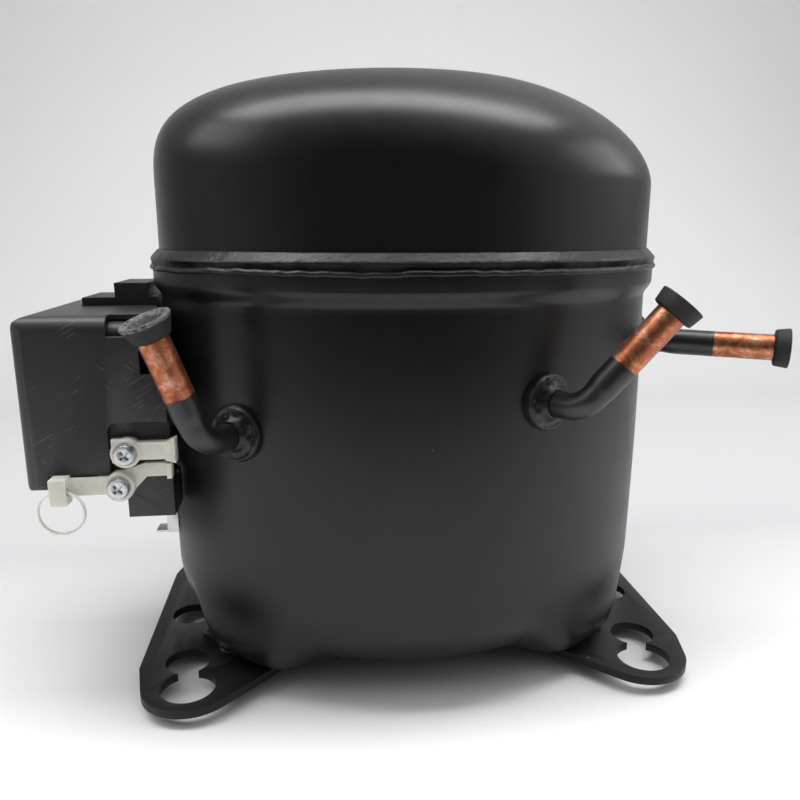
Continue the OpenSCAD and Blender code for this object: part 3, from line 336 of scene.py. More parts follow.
def enamelOnSteel(name, look):
    # Black stoving enamel sprayed on drawn steel: satin gloss, slight orange peel, soft clouds where
    # the coat is thinner, and grains of dust caught in it. Rough welds show through as lumps. Where its
    # attribute is set, the colour is painted near black and less shiny: painted shade down in a groove and
    # a painted dark reflection in a dent. Handling rubs a side dull
    material, tree, shader, where = newMaterial(name, IOR=1.5, Specular_IOR_Level=look["specular"])
    clouds = addNode(tree, "TexNoise", {"Scale": perMm(look["cloudSize"]), "Detail": 3, "Roughness": 0.55},
                     {"Vector": where})
    tone = addNode(tree, "Mix", {6: toLinear(look["deep"]), 7: toLinear(look["thin"])}, {0: clouds},
                   data_type="RGBA")
    dustCell = addNode(tree, "TexVoronoi", {"Scale": perMm(look["dustEvery"])}, {"Vector": where})
    dustPick = addNode(tree, "SeparateColor", links={"Color": dustCell.outputs["Color"]})
    chosen = addNode(tree, "Math", {1: 1 - look["dustShare"]}, {0: dustPick.outputs[0]}, operation="GREATER_THAN")
    near = addNode(tree, "Math", {1: look["dustSize"] / look["dustEvery"]}, {0: dustCell.outputs["Distance"]},
                   operation="LESS_THAN")
    dust = addNode(tree, "Math", links={0: chosen, 1: near}, operation="MULTIPLY")
    colour = addNode(tree, "Mix", {7: toLinear(look["dust"])}, {0: dust, 6: tone.outputs[2]}, data_type="RGBA")
    wipe = addNode(tree, "TexNoise", {"Scale": perMm(look["wipeSize"]), "Detail": 5, "Roughness": 0.6,
                                      "Distortion": 0.6}, {"Vector": where})
    sheen = addNode(tree, "MapRange", {"From Min": 0.3, "From Max": 0.7, "To Min": look["gloss"],
                                       "To Max": look["matt"]}, {"Value": wipe})
    if look["hollows"]:
        # Painted shade and painted reflection: near black and less shiny where the attribute is set
        hollow = addNode(tree, "Attribute", attribute_name="hollow").outputs["Fac"]
        colour = addNode(tree, "Mix", {7: toLinear(look["soot"])}, {0: hollow, 6: colour.outputs[2]},
                         data_type="RGBA")
        shadeShine = look["shadeSpecular"] / look["specular"]
        shineKept = addNode(tree, "MapRange", {"To Min": 1.0, "To Max": shadeShine}, {"Value": hollow})
        shine = addNode(tree, "Math", {0: look["specular"]}, {1: shineKept}, operation="MULTIPLY")
        wire(tree, shader, Specular_IOR_Level=shine)
    if look["rubs"]:
        rubbed = addNode(tree, "Attribute", attribute_name="rubbed").outputs["Fac"]
        sheen = addNode(tree, "Mix", {3: look["rubbedMatt"]}, {0: rubbed, 2: sheen}, data_type="FLOAT")
    peel = addNode(tree, "TexNoise", {"Scale": perMm(look["peelSize"]), "Detail": 2}, {"Vector": where})
    relief = addNode(tree, "Bump", {"Strength": 0.35, "Distance": look["peelDepth"] * mm}, {"Height": peel})
    if look["lumpDepth"]:
        lumps = addNode(tree, "TexNoise", {"Scale": perMm(look["lumpSize"]), "Detail": 4, "Roughness": 0.6},
                        {"Vector": where})
        relief = addNode(tree, "Bump", {"Strength": 0.6, "Distance": look["lumpDepth"] * mm},
                         {"Height": lumps, "Normal": relief})
    wire(tree, shader, Base_Color=colour.outputs[2], Roughness=sheen, Normal=relief)
    return material


shellLook = {  # colours, gloss, and sizes and depths in millimetres
    "deep": "#0d0d0f", "thin": "#131315", "cloudSize": 38,
    "specular": 0.3, "gloss": 0.27, "matt": 0.36, "wipeSize": 22,
    "dust": "#8f8f90", "dustEvery": 9.0, "dustSize": 0.28, "dustShare": 0.20,
    "peelSize": 1.6, "peelDepth": 0.02, "lumpSize": 2.4, "lumpDepth": 0,
    # The near-black tone and low shine of the painted shade and painted reflection
    "hollows": False, "soot": "#050505", "shadeSpecular": 0.04, "rubs": False, "rubbedMatt": 0.72,
}
shellPaint = enamelOnSteel("blackStovingEnamel", shellLook)
weldLook = dict(shellLook, lumpDepth=0.5, matt=0.40, gloss=0.28, thin="#171719")
weldPaint = enamelOnSteel("enamelOverWeld", weldLook)
# The seam takes painted shade in its groove, the lower shell a painted dark reflection in its dents
seamPaint = enamelOnSteel("enamelOverSeam", dict(weldLook, hollows=True))
lowerLook = dict(shellLook, deep="#0a0a0c", thin="#101012", gloss=0.29, matt=0.38, hollows=True, rubs=True)
lowerPaint = enamelOnSteel("blackStovingEnamelDulled", lowerLook)
plateLook = dict(shellLook, deep="#0f0f10", thin="#161617", matt=0.52, gloss=0.42, peelDepth=0.04)
platePaint = enamelOnSteel("enamelOnPlate", plateLook)


def copperTube(name, look):
    # Annealed copper tube, bare at the socket end and sprayed black toward the shell. The bare part is
    # mottled by heat and handling, and the coat ends at a ragged line.
    material, tree, shader, where = newMaterial(name)
    reach = addNode(tree, "Attribute", attribute_name="pastPaint").outputs["Fac"]
    ragged = addNode(tree, "TexNoise", {"Scale": perMm(look["raggedSize"]), "Detail": 3}, {"Vector": where})
    wander = look["wander"] * mm  # the line wanders by this much each way
    edge = addNode(tree, "Math", {1: 2 * wander, 2: -wander}, {0: ragged}, operation="MULTIPLY_ADD")
    edgeAt = addNode(tree, "Math", links={0: reach, 1: edge}, operation="ADD")
    bare = addNode(tree, "MapRange", {"From Min": -0.0001, "From Max": 0.0002}, {"Value": edgeAt})
    patches = addNode(tree, "TexNoise", {"Scale": perMm(look["patchSize"]), "Detail": 6, "Roughness": 0.65,
                                         "Distortion": 0.8}, {"Vector": where})
    ramp = addNode(tree, "ValToRGB", links={"Fac": patches})
    stops = ramp.color_ramp.elements
    stops[0].position, stops[0].color = 0.30, toLinear(look["stained"])
    stops[1].position, stops[1].color = 0.72, toLinear(look["bright"])
    middle = stops.new(0.5)
    middle.color = toLinear(look["copper"])
    soot = addNode(tree, "TexNoise", {"Scale": perMm(look["sootSize"]), "Detail": 5, "Roughness": 0.7},
                   {"Vector": where})
    sootAt = addNode(tree, "MapRange", {"From Min": 0.56, "From Max": 0.70, "To Max": 0.75}, {"Value": soot})
    marked = addNode(tree, "Mix", {7: toLinear(look["soot"])}, {0: sootAt, 6: ramp.outputs[0]}, data_type="RGBA")
    colour = addNode(tree, "Mix", {6: toLinear(look["paint"])}, {0: bare, 7: marked.outputs[2]}, data_type="RGBA")
    metal = addNode(tree, "Math", {1: 0.9}, {0: bare}, operation="MULTIPLY")
    rough = addNode(tree, "MapRange", {"From Min": 0.3, "From Max": 0.7, "To Min": 0.30, "To Max": 0.48},
                    {"Value": soot})
    dents = addNode(tree, "Bump", {"Strength": 0.5, "Distance": 0.00012}, {"Height": patches})
    coat = addNode(tree, "Bump", {"Strength": 0.6, "Distance": 0.0001, "Filter Width": 0.1},
                   {"Height": bare, "Normal": dents}, invert=True)
    wire(tree, shader, Base_Color=colour.outputs[2], Metallic=metal, Roughness=rough, Normal=coat)
    return material


copperLook = {"bright": "#cba08b", "copper": "#a06041", "stained": "#774433", "patchSize": 4.5,
              "soot": "#4a2a1e", "sootSize": 1.3, "paint": "#101011", "raggedSize": 2.2, "wander": 0.8}
bareCopper = copperTube("annealedCopperPartPainted", copperLook)


def mouldedRubber(name, look):
    # Moulded EPDM: dull, even and finely pitted; its rims get a patchy pale tone, partly dust and partly a painted
    # highlight
    material, tree, shader, where = newMaterial(name, Roughness=look["roughness"], IOR=1.5,
                                                Specular_IOR_Level=0.35)
    clouds = addNode(tree, "TexNoise", {"Scale": perMm(look["cloudSize"]), "Detail": 4}, {"Vector": where})
    tone = addNode(tree, "Mix", {6: toLinear(look["deep"]), 7: toLinear(look["light"])}, {0: clouds},
                   data_type="RGBA")
    # The pale rim tone: dust, and a painted highlight where light falls on the rim
    rim = addNode(tree, "Attribute", attribute_name="rimDustAndHighlight").outputs["Fac"]
    patchy = addNode(tree, "TexNoise", {"Scale": perMm(look["pitSize"]), "Detail": 4, "Roughness": 0.7},
                     {"Vector": where})
    rubbed = addNode(tree, "MapRange", {"From Min": 0.35, "From Max": 0.62, "To Max": 0.7}, {"Value": patchy})
    dustAndHighlight = addNode(tree, "Math", links={0: rim, 1: rubbed}, operation="MULTIPLY")
    colour = addNode(tree, "Mix", {7: toLinear(look["dustAndHighlight"])}, {0: dustAndHighlight, 6: tone.outputs[2]}, data_type="RGBA")
    relief = addNode(tree, "Bump", {"Strength": 0.6, "Distance": 0.00012}, {"Height": patchy})
    wire(tree, shader, Base_Color=colour.outputs[2], Normal=relief)
    return material


rubberLook = {"deep": "#151616", "light": "#1f2020", "dustAndHighlight": "#8a8b8a", "roughness": 0.7, "cloudSize": 3.0,
              "pitSize": 1.4}
plugRubber = mouldedRubber("mouldedEPDMRubber", rubberLook)


def scuffedPlastic(name, look):
    # Glass-filled nylon, moulded: a fine even grain, with short pale scratches in two directions. Each is
    # one of a family of parallel lines, drawn only for part of its length and only in a few patches
    material, tree, shader, where = newMaterial(name, IOR=1.53, Roughness=look["roughness"])
    clouds = addNode(tree, "TexNoise", {"Scale": perMm(look["cloudSize"]), "Detail": 4}, {"Vector": where})
    tone = addNode(tree, "Mix", {6: toLinear(look["deep"]), 7: toLinear(look["light"])}, {0: clouds},
                   data_type="RGBA")
    marks = []
    for turn, spacing, zone in look["scratches"]:
        placed = addNode(tree, "Mapping", {"Rotation": (0, turn, 0)}, {"Vector": where})
        bend = addNode(tree, "TexNoise", {"Scale": perMm(look["bendSize"]), "Detail": 1}, {"Vector": where})
        side = addNode(tree, "SeparateXYZ", links={"Vector": placed})
        count = addNode(tree, "Math", {1: perMm(spacing)}, {0: side.outputs["Z"], 2: bend},
                        operation="MULTIPLY_ADD")
        number = addNode(tree, "Math", links={0: count}, operation="FLOOR")
        within = addNode(tree, "Math", links={0: count}, operation="FRACT")
        offLine = addNode(tree, "Math", {1: 0.5}, {0: within}, operation="SUBTRACT")
        width = addNode(tree, "Math", links={0: offLine}, operation="ABSOLUTE")
        line = addNode(tree, "Math", {1: look["scratchWide"] / spacing / 2}, {0: width}, operation="LESS_THAN")
        begin = addNode(tree, "CombineXYZ", links={"X": side.outputs["X"], "Y": number})
        lengths = addNode(tree, "Mapping", {"Scale": (perMm(zone * 0.8), 3.7, 0)}, {"Vector": begin})
        run = addNode(tree, "TexNoise", {"Scale": 1.0, "Detail": 1}, {"Vector": lengths})
        drawn = addNode(tree, "Math", {1: 0.50}, {0: run}, operation="GREATER_THAN")
        zones = addNode(tree, "TexNoise", {"Scale": perMm(zone), "Detail": 1}, {"Vector": placed})
        inZone = addNode(tree, "MapRange", {"From Min": 0.63, "From Max": 0.69}, {"Value": zones})
        both = addNode(tree, "Math", links={0: line, 1: drawn}, operation="MULTIPLY")
        marks.append(addNode(tree, "Math", links={0: both, 1: inZone}, operation="MULTIPLY"))
    anyMark = addNode(tree, "Math", links={0: marks[0], 1: marks[1]}, operation="MAXIMUM")
    faint = addNode(tree, "Math", {1: look["strength"]}, {0: anyMark}, operation="MULTIPLY")
    colour = addNode(tree, "Mix", {7: toLinear(look["scratch"])}, {0: faint, 6: tone.outputs[2]}, data_type="RGBA")
    grain = addNode(tree, "TexNoise", {"Scale": perMm(look["grainSize"]), "Detail": 2}, {"Vector": where})
    relief = addNode(tree, "Bump", {"Strength": 0.25, "Distance": 0.00004}, {"Height": grain})
    wire(tree, shader, Base_Color=colour.outputs[2], Normal=relief)
    return material


coverLook = {"deep": "#161617", "light": "#1d1d1e", "roughness": 0.46, "cloudSize": 14, "grainSize": 0.5,
             "scratch": "#8c8c8c", "strength": 0.28, "scratchWide": 0.19, "bendSize": 24,
             "scratches": ((0.55, 1.5, 10.0), (-0.70, 1.9, 8.0))}  # slant, spacing, size of a patch
coverPlastic = scuffedPlastic("glassFilledNylonScuffed", coverLook)
baseLook = dict(coverLook, deep="#18181a", light="#1e1e20", roughness=0.5, strength=0.15)
basePlastic = scuffedPlastic("glassFilledNylonBase", baseLook)


def naturalNylon(name, colour, through):  # unfilled nylon: milky, lets some light through, waxy surface
    material, tree, shader, where = newMaterial(name, Roughness=0.38, IOR=1.53, Subsurface_Weight=through,
                                                Subsurface_Scale=0.003, Base_Color=toLinear(colour))
    shader.inputs["Subsurface Radius"].default_value = (1.0, 0.8, 0.55)
    flow = addNode(tree, "TexNoise", {"Scale": perMm(5), "Detail": 3}, {"Vector": where})
    tone = addNode(tree, "Mix", {6: toLinear("#c8c5bb"), 7: toLinear(colour)}, {0: flow}, data_type="RGBA")
    relief = addNode(tree, "Bump", {"Strength": 0.3, "Distance": 0.00008}, {"Height": flow})
    wire(tree, shader, Base_Color=tone.outputs[2], Normal=relief)
    return material


clampNylon = naturalNylon("naturalNylonClamp", "#e2dfd6", 0.35)
tieNylon = naturalNylon("naturalNylonTie", "#ecece4", 0.5)


def metalFinish(name, colour, dark, size, stretch, low, high):
    # Bare metal: tone and roughness, from low to high, vary along fine lines left by plating or turning
    material, tree, shader, where = newMaterial(name, Metallic=1.0)
    lines = addNode(tree, "Mapping", {"Scale": stretch}, {"Vector": where})
    streaks = addNode(tree, "TexNoise", {"Scale": perMm(size), "Detail": 4, "Roughness": 0.6}, {"Vector": lines})
    tone = addNode(tree, "Mix", {6: toLinear(dark), 7: toLinear(colour)}, {0: streaks}, data_type="RGBA")
    rough = addNode(tree, "MapRange", {"From Min": 0.3, "From Max": 0.7, "To Min": low, "To Max": high},
                    {"Value": streaks})
    relief = addNode(tree, "Bump", {"Strength": 0.3, "Distance": 0.00003}, {"Height": streaks})
    wire(tree, shader, Base_Color=tone.outputs[2], Roughness=rough, Normal=relief)
    return material


zincPlate = metalFinish("brightZincPlate", "#cfd1d2", "#9b9ea1", 1.0, (1, 1, 1), 0.22, 0.42)
tinnedSteel = metalFinish("tinnedSteelPressing", "#b2b4b6", "#8b8d90", 2.5, (1, 1, 1), 0.3, 0.45)
# Sheets 0.5 mm thick, seen edge on
laminations = metalFinish("stackedSteelSheet", "#8b8e92", "#55585c", 0.5, (0.05, 0.05, 1), 0.35, 0.55)
rotorCast = metalFinish("dieCastAluminium", "#c3c5c7", "#9da0a3", 2.0, (1, 1, 1), 0.4, 0.6)
groundSteel = metalFinish("groundSteelShaft", "#b9bbbe", "#989b9f", 0.4, (0.3, 0.3, 1), 0.18, 0.3)
springWire = metalFinish("drawnSpringWire", "#6a6d71", "#4a4c50", 0.6, (1, 1, 1), 0.3, 0.45)
bronze = metalFinish("sinteredBronze", "#bda35c", "#8f7a41", 0.8, (1, 1, 1), 0.4, 0.55)
lineCopper = metalFinish("drawnCopperLine", "#c8764a", "#9c4c28", 3.0, (1, 1, 1), 0.3, 0.45)
castIron = flatFinish("machinedGreyIron", "#75777a", "#5c5e61", 1.2, 0.08, Metallic=0.85, Roughness=0.5)
relayPlastic = flatFinish("mouldedPhenolic", "#3d3733", "#2d2926", 2.0, 0.03, Roughness=0.5)
overloadPlastic = flatFinish("mouldedBlackPhenolic", "#1f1f21", "#161617", 2.0, 0.02, Roughness=0.4)
gasketFibre = flatFinish("compressedFibre", "#6f4d36", "#553a28", 0.8, 0.05, Roughness=0.85)
mufflerPlastic = flatFinish("oilResistantPBT", "#d9d3c1", "#c9c2ae", 6.0, 0.03, Roughness=0.45)
sealGlass = flatFinish("fusedSealGlass", "#4f7680", "#2f4f58", 2.0, 0.01, Roughness=0.12)

windingWire, tree, shader, where = newMaterial("enamelledWindingWire", Metallic=0.75, Roughness=0.32)
# Wire runs round the end windings. Single strands are too fine to show, so the grooves under the lacquer
# are drawn as bundles: a Wave texture's rings stand 2 pi / 20 of its scale apart, here about 6 mm
strands = addNode(tree, "TexWave", {"Scale": perMm(20.0), "Distortion": 3.0, "Detail": 2, "Detail Scale": 1.5},
                  {"Vector": where}, wave_type="RINGS", rings_direction="Z")
lacquer = addNode(tree, "Mix", {6: toLinear("#7c2f14"), 7: toLinear("#b85a2c")}, {0: strands}, data_type="RGBA")
grooves = addNode(tree, "Bump", {"Strength": 0.7, "Distance": 0.0004}, {"Height": strands})
wire(tree, shader, Base_Color=lacquer.outputs[2], Normal=grooves)
print("finishes made")


# The plan of every level is a squared ellipse: cosine and sine raised to 2 / squareness, sign kept
shellForm = {
    "squareness": 1.95, "wall": 2.5, "around": 240, "cornerRings": 26, "wallRings": 48,
    # The floor's rounding, the tighter one at the feet, and the plan angle, spread and blend of a foot
    "floorRound": 32.0, "footRound": 12.0, "footAngle": 43.0, "footSpread": 22.0, "footBlend": 14.0,
    # The shallow dent pressed in above each foot: depth, height over the floor, and how far it fades up
    # and down in millimetres and to each side in degrees
    "dent": 1.3, "dentZ": 24.0, "dentTall": 9.0, "dentWide": 10.0,
    # The belly of the wall, the flare at its mouth, the rim over it and the ledge inside
    "belly": 0.6, "mouthZ": 138.2, "mouthOut": 2.6, "flareDown": 4.2, "flareUp": 1.2, "flareRings": 8,
    "rimFoot": 144.0, "rimZ": 147.5, "rimEdge": 0.3, "rimInset": -0.4, "ledgeInset": -0.1, "ledgeZ": 140.0,
    # The dome: its foot, how far its top lies away from the box, how full each side is, and its rings
    "shoulderZ": 173.0, "topShift": 22.0, "fullLeft": 3.2, "fullRight": 1.75, "fullSide": 2.3,
    "skirtGap": 0.3, "skirtRings": 14, "steepRings": 44, "steepTo": 66, "topRings": 42, "topHole": 0.012,
}
domeLow, domeHigh = np.array(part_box("upper_shell"))
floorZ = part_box("lower_shell")[0][2] / mm
halfLength = (domeHigh[0] - domeLow[0]) / 2 / mm
halfWidth = (domeHigh[1] - domeLow[1]) / 2 / mm
domeRise = domeHigh[2] / mm - shellForm["shoulderZ"]
around = np.linspace(0, 2 * np.pi, shellForm["around"], endpoint=False)


def planCurve(angle):  # cosine and sine raised to the power that squares the ellipse a little
    power = 2 / shellForm["squareness"]
    cosine, sine = np.cos(angle), np.sin(angle)
    return np.sign(cosine) * np.abs(cosine) ** power, np.sign(sine) * np.abs(sine) ** power


def levels(inset, z, angle=around, scale=1.0):  # rings at insets from the shell's plan, in millimetres
    inset, z, scale = (v if np.ndim(v) == 2 else np.atleast_1d(v)[:, None] for v in (inset, z, scale))
    planX, planY = planCurve(angle)
    x, y = (halfLength - inset) * scale * planX, (halfWidth - inset) * scale * planY
    return np.stack([x, y, np.broadcast_to(z, x.shape)], -1) * mm


def smoothStep(share):  # 0 to 1 with level ends: three times the square less twice the cube
    share = np.clip(share, 0, 1)
    return share * share * (3 - 2 * share)


def planDegrees(angle):  # angle from the long axis, the same in all four quarters
    return np.degrees(np.arcsin(np.abs(np.sin(angle))))


def roundingAt(angle):  # radius of the floor's corner: wide, blending to the tighter one of the four feet
    form = shellForm
    off = np.abs(planDegrees(angle) - form["footAngle"])
    share = smoothStep((form["footSpread"] - off) / form["footBlend"])
    return form["floorRound"] - (form["floorRound"] - form["footRound"]) * share


def dentAt(angle, z):  # share of the dent above each foot: a bell over the plan angle and the height
    form = shellForm
    across = (planDegrees(angle) - form["footAngle"]) / form["dentWide"]
    up = (z - floorZ - form["dentZ"]) / form["dentTall"]
    return np.exp(-across ** 2 - up ** 2)


def lowerWall(depth):
    # (inset, height) round each column's own corner and up the wall, at a depth below the face. The
    # belly is half a sine wave over the wall, and the dent is taken off both faces
    form, corner = shellForm, roundingAt(around)
    bend = np.linspace(0, np.pi / 2, form["cornerRings"])[:, None]
    cornerInset = corner - (corner - depth) * np.sin(bend)
    cornerZ = floorZ + corner - (corner - depth) * np.cos(bend)
    top, widest = form["mouthZ"] - form["flareDown"], floorZ + form["floorRound"]
    wallZ = floorZ + corner + (top - floorZ - corner) * np.linspace(0, 1, form["wallRings"])[1:, None]
    wallInset = depth - form["belly"] * np.sin(np.pi * np.clip((wallZ - widest) / (top - widest), 0, 1))
    z = np.concatenate([cornerZ, wallZ])
    return np.concatenate([cornerInset, wallInset]) + form["dent"] * dentAt(around, z), z


form = shellForm
outInset, outZ = lowerWall(0)
flare = np.linspace(0, 1, form["flareRings"] + 1)[1:]
mouthInset = -form["mouthOut"] * smoothStep(flare)
mouthZ = form["mouthZ"] - form["flareDown"] + (form["flareDown"] + form["flareUp"]) * flare
rimLow = form["rimZ"] - form["rimEdge"]
rimInset = np.array([-form["mouthOut"], -form["mouthOut"], -form["mouthOut"] + form["rimEdge"], form["rimInset"],
                     form["ledgeInset"], form["ledgeInset"]])
rimZ = np.array([form["rimFoot"], rimLow, form["rimZ"], form["rimZ"], rimLow, form["ledgeZ"]])
inInset, inZ = lowerWall(form["wall"])
floorScale = np.array([0.02, 0.15, 0.35, 0.6, 0.85])  # the floor's rings, as shares of its size
floorRings = len(floorScale)
floorInset = np.full(floorRings, form["floorRound"])
outerFloor = levels(floorInset, np.full(floorRings, floorZ), scale=floorScale)
innerFloor = levels(floorInset, np.full(floorRings, floorZ + form["wall"]), scale=floorScale[::-1])
lowerGrid = np.concatenate([
    outerFloor, levels(outInset, outZ), levels(mouthInset, mouthZ), levels(rimInset, rimZ),
    levels(inInset[::-1], np.minimum(inZ[::-1], form["ledgeZ"])), innerFloor])
# The dents take a painted dark reflection of the plate, and the paint is rubbed dull beside the electrical box
lowerPaintedShadeAndWear = {"soot": 0.85, "nearX": -62, "acrossX": 14, "topZ": 112, "topOver": 14, "footZ": 45, "footOver": 20}
lowerX, lowerZ = lowerGrid[..., 0] / mm, lowerGrid[..., 2] / mm
outside = np.zeros(len(lowerGrid))
outside[floorRings:floorRings + len(outInset)] = 1
# Painted reflection: the dents are darkened
dentPaintedReflection = lowerPaintedShadeAndWear["soot"] * dentAt(around, lowerZ) * outside[:, None]
rubbedSide = (smoothStep((lowerPaintedShadeAndWear["nearX"] - lowerX) / lowerPaintedShadeAndWear["acrossX"])
              * smoothStep((lowerPaintedShadeAndWear["topZ"] - lowerZ) / lowerPaintedShadeAndWear["topOver"])
              * smoothStep((lowerZ - lowerPaintedShadeAndWear["footZ"]) / lowerPaintedShadeAndWear["footOver"]) * outside[:, None])
lowerShell = gridPiece("lowerShellDrawn", [lowerGrid],
                       extra={"hollow": dentPaintedReflection.ravel(), "rubbed": rubbedSide.ravel()})
dress(lowerShell, lowerPaint, "shell", "shell_paint", "lower_shell")


def domeLevels(height, depth):  # rings of the dome at shares of its rise: each side falls in by its own power
    form = shellForm
    fullness = (form["fullLeft"], form["fullRight"], form["fullSide"])
    left, right, side = ((1 - height ** power) ** (1 / power) for power in fullness)
    left = (halfLength - depth) * left - form["topShift"] * (1 - left)
    right = (halfLength - depth) * right + form["topShift"] * (1 - right)
    planX, planY = planCurve(around)
    x = (right - left)[:, None] / 2 + (right + left)[:, None] / 2 * planX
    y = ((halfWidth - depth) * side)[:, None] * planY
    z = np.broadcast_to((form["shoulderZ"] + (domeRise - depth) * height)[:, None], x.shape)
    return np.stack([x, y, z], -1) * mm


# The rings are even in angle up the steep part, then even in the side's width to a small hole at the top
steep = np.sin(np.radians(np.linspace(0, form["steepTo"], form["steepRings"])))
fullSide = form["fullSide"]
sideLeft = np.linspace((1 - steep[-1] ** fullSide) ** (1 / fullSide), form["topHole"], form["topRings"])[1:]
shares = np.concatenate([steep, (1 - sideLeft ** fullSide) ** (1 / fullSide)])
skirtZ = np.linspace(form["ledgeZ"] + form["skirtGap"], form["shoulderZ"], form["skirtRings"])
outerDome, innerDome = (
    np.concatenate([levels(np.full(form["skirtRings"], depth), skirtZ)[:-1], domeLevels(shares, depth)])
    for depth in (0.0, form["wall"]))
upperShell = gridPiece("upperShellDrawn", [np.concatenate([outerDome[::-1], innerDome])])
dress(upperShell, shellPaint, "shell", "shell_paint", "upper_shell")

# The seam: a rolled band on the rim, a groove under it, and the rough lower lip of the weld run. The
# section is (inset, height) all round. Two noises lift and swell the lip, and two more the band
seamForm = {
    "section": [(-0.12, 151.0), (-0.7, 150.6), (-2.85, 148.3), (-3.2, 147.7), (-3.08, 147.25), (-2.85, 146.7),
                (-2.78, 145.7), (-2.84, 145.5), (-3.38, 144.9), (-3.48, 144.4), (-3.2, 143.85), (-2.68, 143.6),
                (-2.66, 147.55), (-0.12, 147.56)],
    "rounding": 0.5, "around": 1400, "footZ": 143.5, "footOver": 0.3, "heldInset": -0.4,
    "lipTop": 147.0, "lipOver": 1.6, "lipInset": -2.7, "lipLift": 0.55, "lipSwell": 0.30,
    "lipWaves": ((0.55, 3.6, 3), (0.6, 12.0, 5)),  # share, cell in millimetres, seed
    "bandLift": 0.12, "bandSwell": 0.10, "bandWaves": ((0.5, 2.6, 9), (0.5, 9, 11)),
    "reachOut": 3.5, "reachSpare": 0.02,  # nothing swells out past this
    # The groove takes painted shade: where it lies, how strong it is, how much that varies, and the cell and seed of
    # its noise
    "grooveTop": 147.7, "grooveTopOver": 0.4, "grooveFoot": 145.4, "grooveFootOver": 0.3, "grooveInset": -1,
    "bare": 0.80, "grooveShadeVaries": 0.4, "grooveShadeCell": 5, "grooveShadeSeed": 13, "middle": (-3.0, 147.0),
}
form = seamForm
section = rounded(form["section"] + form["section"][:1], form["rounding"], steps=4)[:-1]
sectionInset, sectionZ = section[:, 0], section[:, 1]
seamAngle = np.linspace(0, 2 * np.pi, form["around"], endpoint=False)
seamGrid = levels(sectionInset, sectionZ, seamAngle)
free = np.clip((sectionZ - form["footZ"]) / form["footOver"], 0, 1) * (sectionInset < form["heldInset"])
inLip = smoothStep((form["lipTop"] - sectionZ) / form["lipOver"]) * (sectionInset < form["lipInset"])
free, inLip = free[:, None], inLip[:, None]
middle = levels(np.full(1, form["middle"][0]), np.full(1, form["middle"][1]), seamAngle)[0]
lipWave, bandWave = (sum(share * noiseAt(middle, cell * mm, seed) for share, cell, seed in form[waves])
                     for waves in ("lipWaves", "bandWaves"))
outward = np.stack([np.cos(seamAngle) / halfLength, np.sin(seamAngle) / halfWidth, 0 * seamAngle], -1)
outward /= np.linalg.norm(outward, axis=-1, keepdims=True)
push = free * (inLip * lipWave * form["lipSwell"] + (1 - inLip) * bandWave * form["bandSwell"])
push = np.minimum(push, (form["reachOut"] + sectionInset)[:, None].clip(0.0, None) + form["reachSpare"])
seamGrid = seamGrid + (push * mm)[..., None] * outward
lift = inLip * lipWave * form["lipLift"] + (1 - inLip) * free * bandWave * form["bandLift"]
seamGrid[..., 2] += lift * mm
inGroove = (smoothStep((form["grooveTop"] - sectionZ) / form["grooveTopOver"])
            * smoothStep((sectionZ - form["grooveFoot"]) / form["grooveFootOver"])
            * (sectionInset < form["grooveInset"]))
# Painted shade down in the groove, patchy along it
patchy = noiseAt(middle, form["grooveShadeCell"] * mm, form["grooveShadeSeed"])
grooveShade = inGroove[:, None] * (form["bare"] + form["grooveShadeVaries"] * patchy)
seamBand = gridPiece("seamWeldRun", [seamGrid], loop=True, extra={"hollow": np.clip(grooveShade, 0, 1).ravel()})
dress(seamBand, seamPaint, "shell", "shell_paint", "seam_weld")

plateEdge = 0.55  # rounding of the stamped plate's edges
dress(roundedCopy("base_plate", "basePlateStamped", plateEdge), platePaint, "shell", "plate_paint", "base_plate")

# Foot welds: a thin run along the edge of each drawn foot, swelling to two beads on the plate. Its
# outer face is part of an ellipse from the plate up to where it goes in under the shell
footWeld = {
    "from": 11.0, "to": 40.0, "steps": 96, "faceSteps": 16, "backSteps": 4,  # plan angles and counts
    "inset": 8.6, "reach": 4.4, "height": 3.3, "deep": 3.0, "underShell": 0.2, "sunk": 0.12,
    "beads": (17.5, 31.5), "beadWide": 3.3, "between": 0.16, "endAt": 0.06, "endPower": 0.4,
    "lump": 0.5, "lumpCell": 2.4, "lumpOut": 0.2, "lumpUp": 0.5, "seed": 17,
}
form = footWeld
angle = np.radians(np.linspace(form["from"], form["to"], form["steps"]))
corner = roundingAt(angle)
swell = sum(np.exp(-((np.degrees(angle) - bead) / form["beadWide"]) ** 2) for bead in form["beads"])
taper = np.sin(np.pi * np.linspace(form["endAt"], 1 - form["endAt"], form["steps"])) ** form["endPower"]
swell = (form["between"] + (1 - form["between"]) * swell) * taper
rise = np.linspace(0, np.pi / 2, form["faceSteps"])[:, None]
height = form["height"] * swell
touch = np.full_like(height, form["inset"])  # inset at which the bead runs in under the shell
faceInset, faceZ = touch - form["reach"] * swell * np.cos(rise), height * np.sin(rise)
backInset = touch + form["deep"] * np.linspace(0, 1, form["backSteps"] + 1)[1:, None]
backZ = np.minimum(corner - np.sqrt(corner * corner - (corner - backInset) ** 2) + form["underShell"], height)
weldInset = np.concatenate([backInset[-1:], faceInset, backInset])
weldZ = np.concatenate([np.zeros((1, form["steps"])), faceZ, backZ])
weldGrids = []
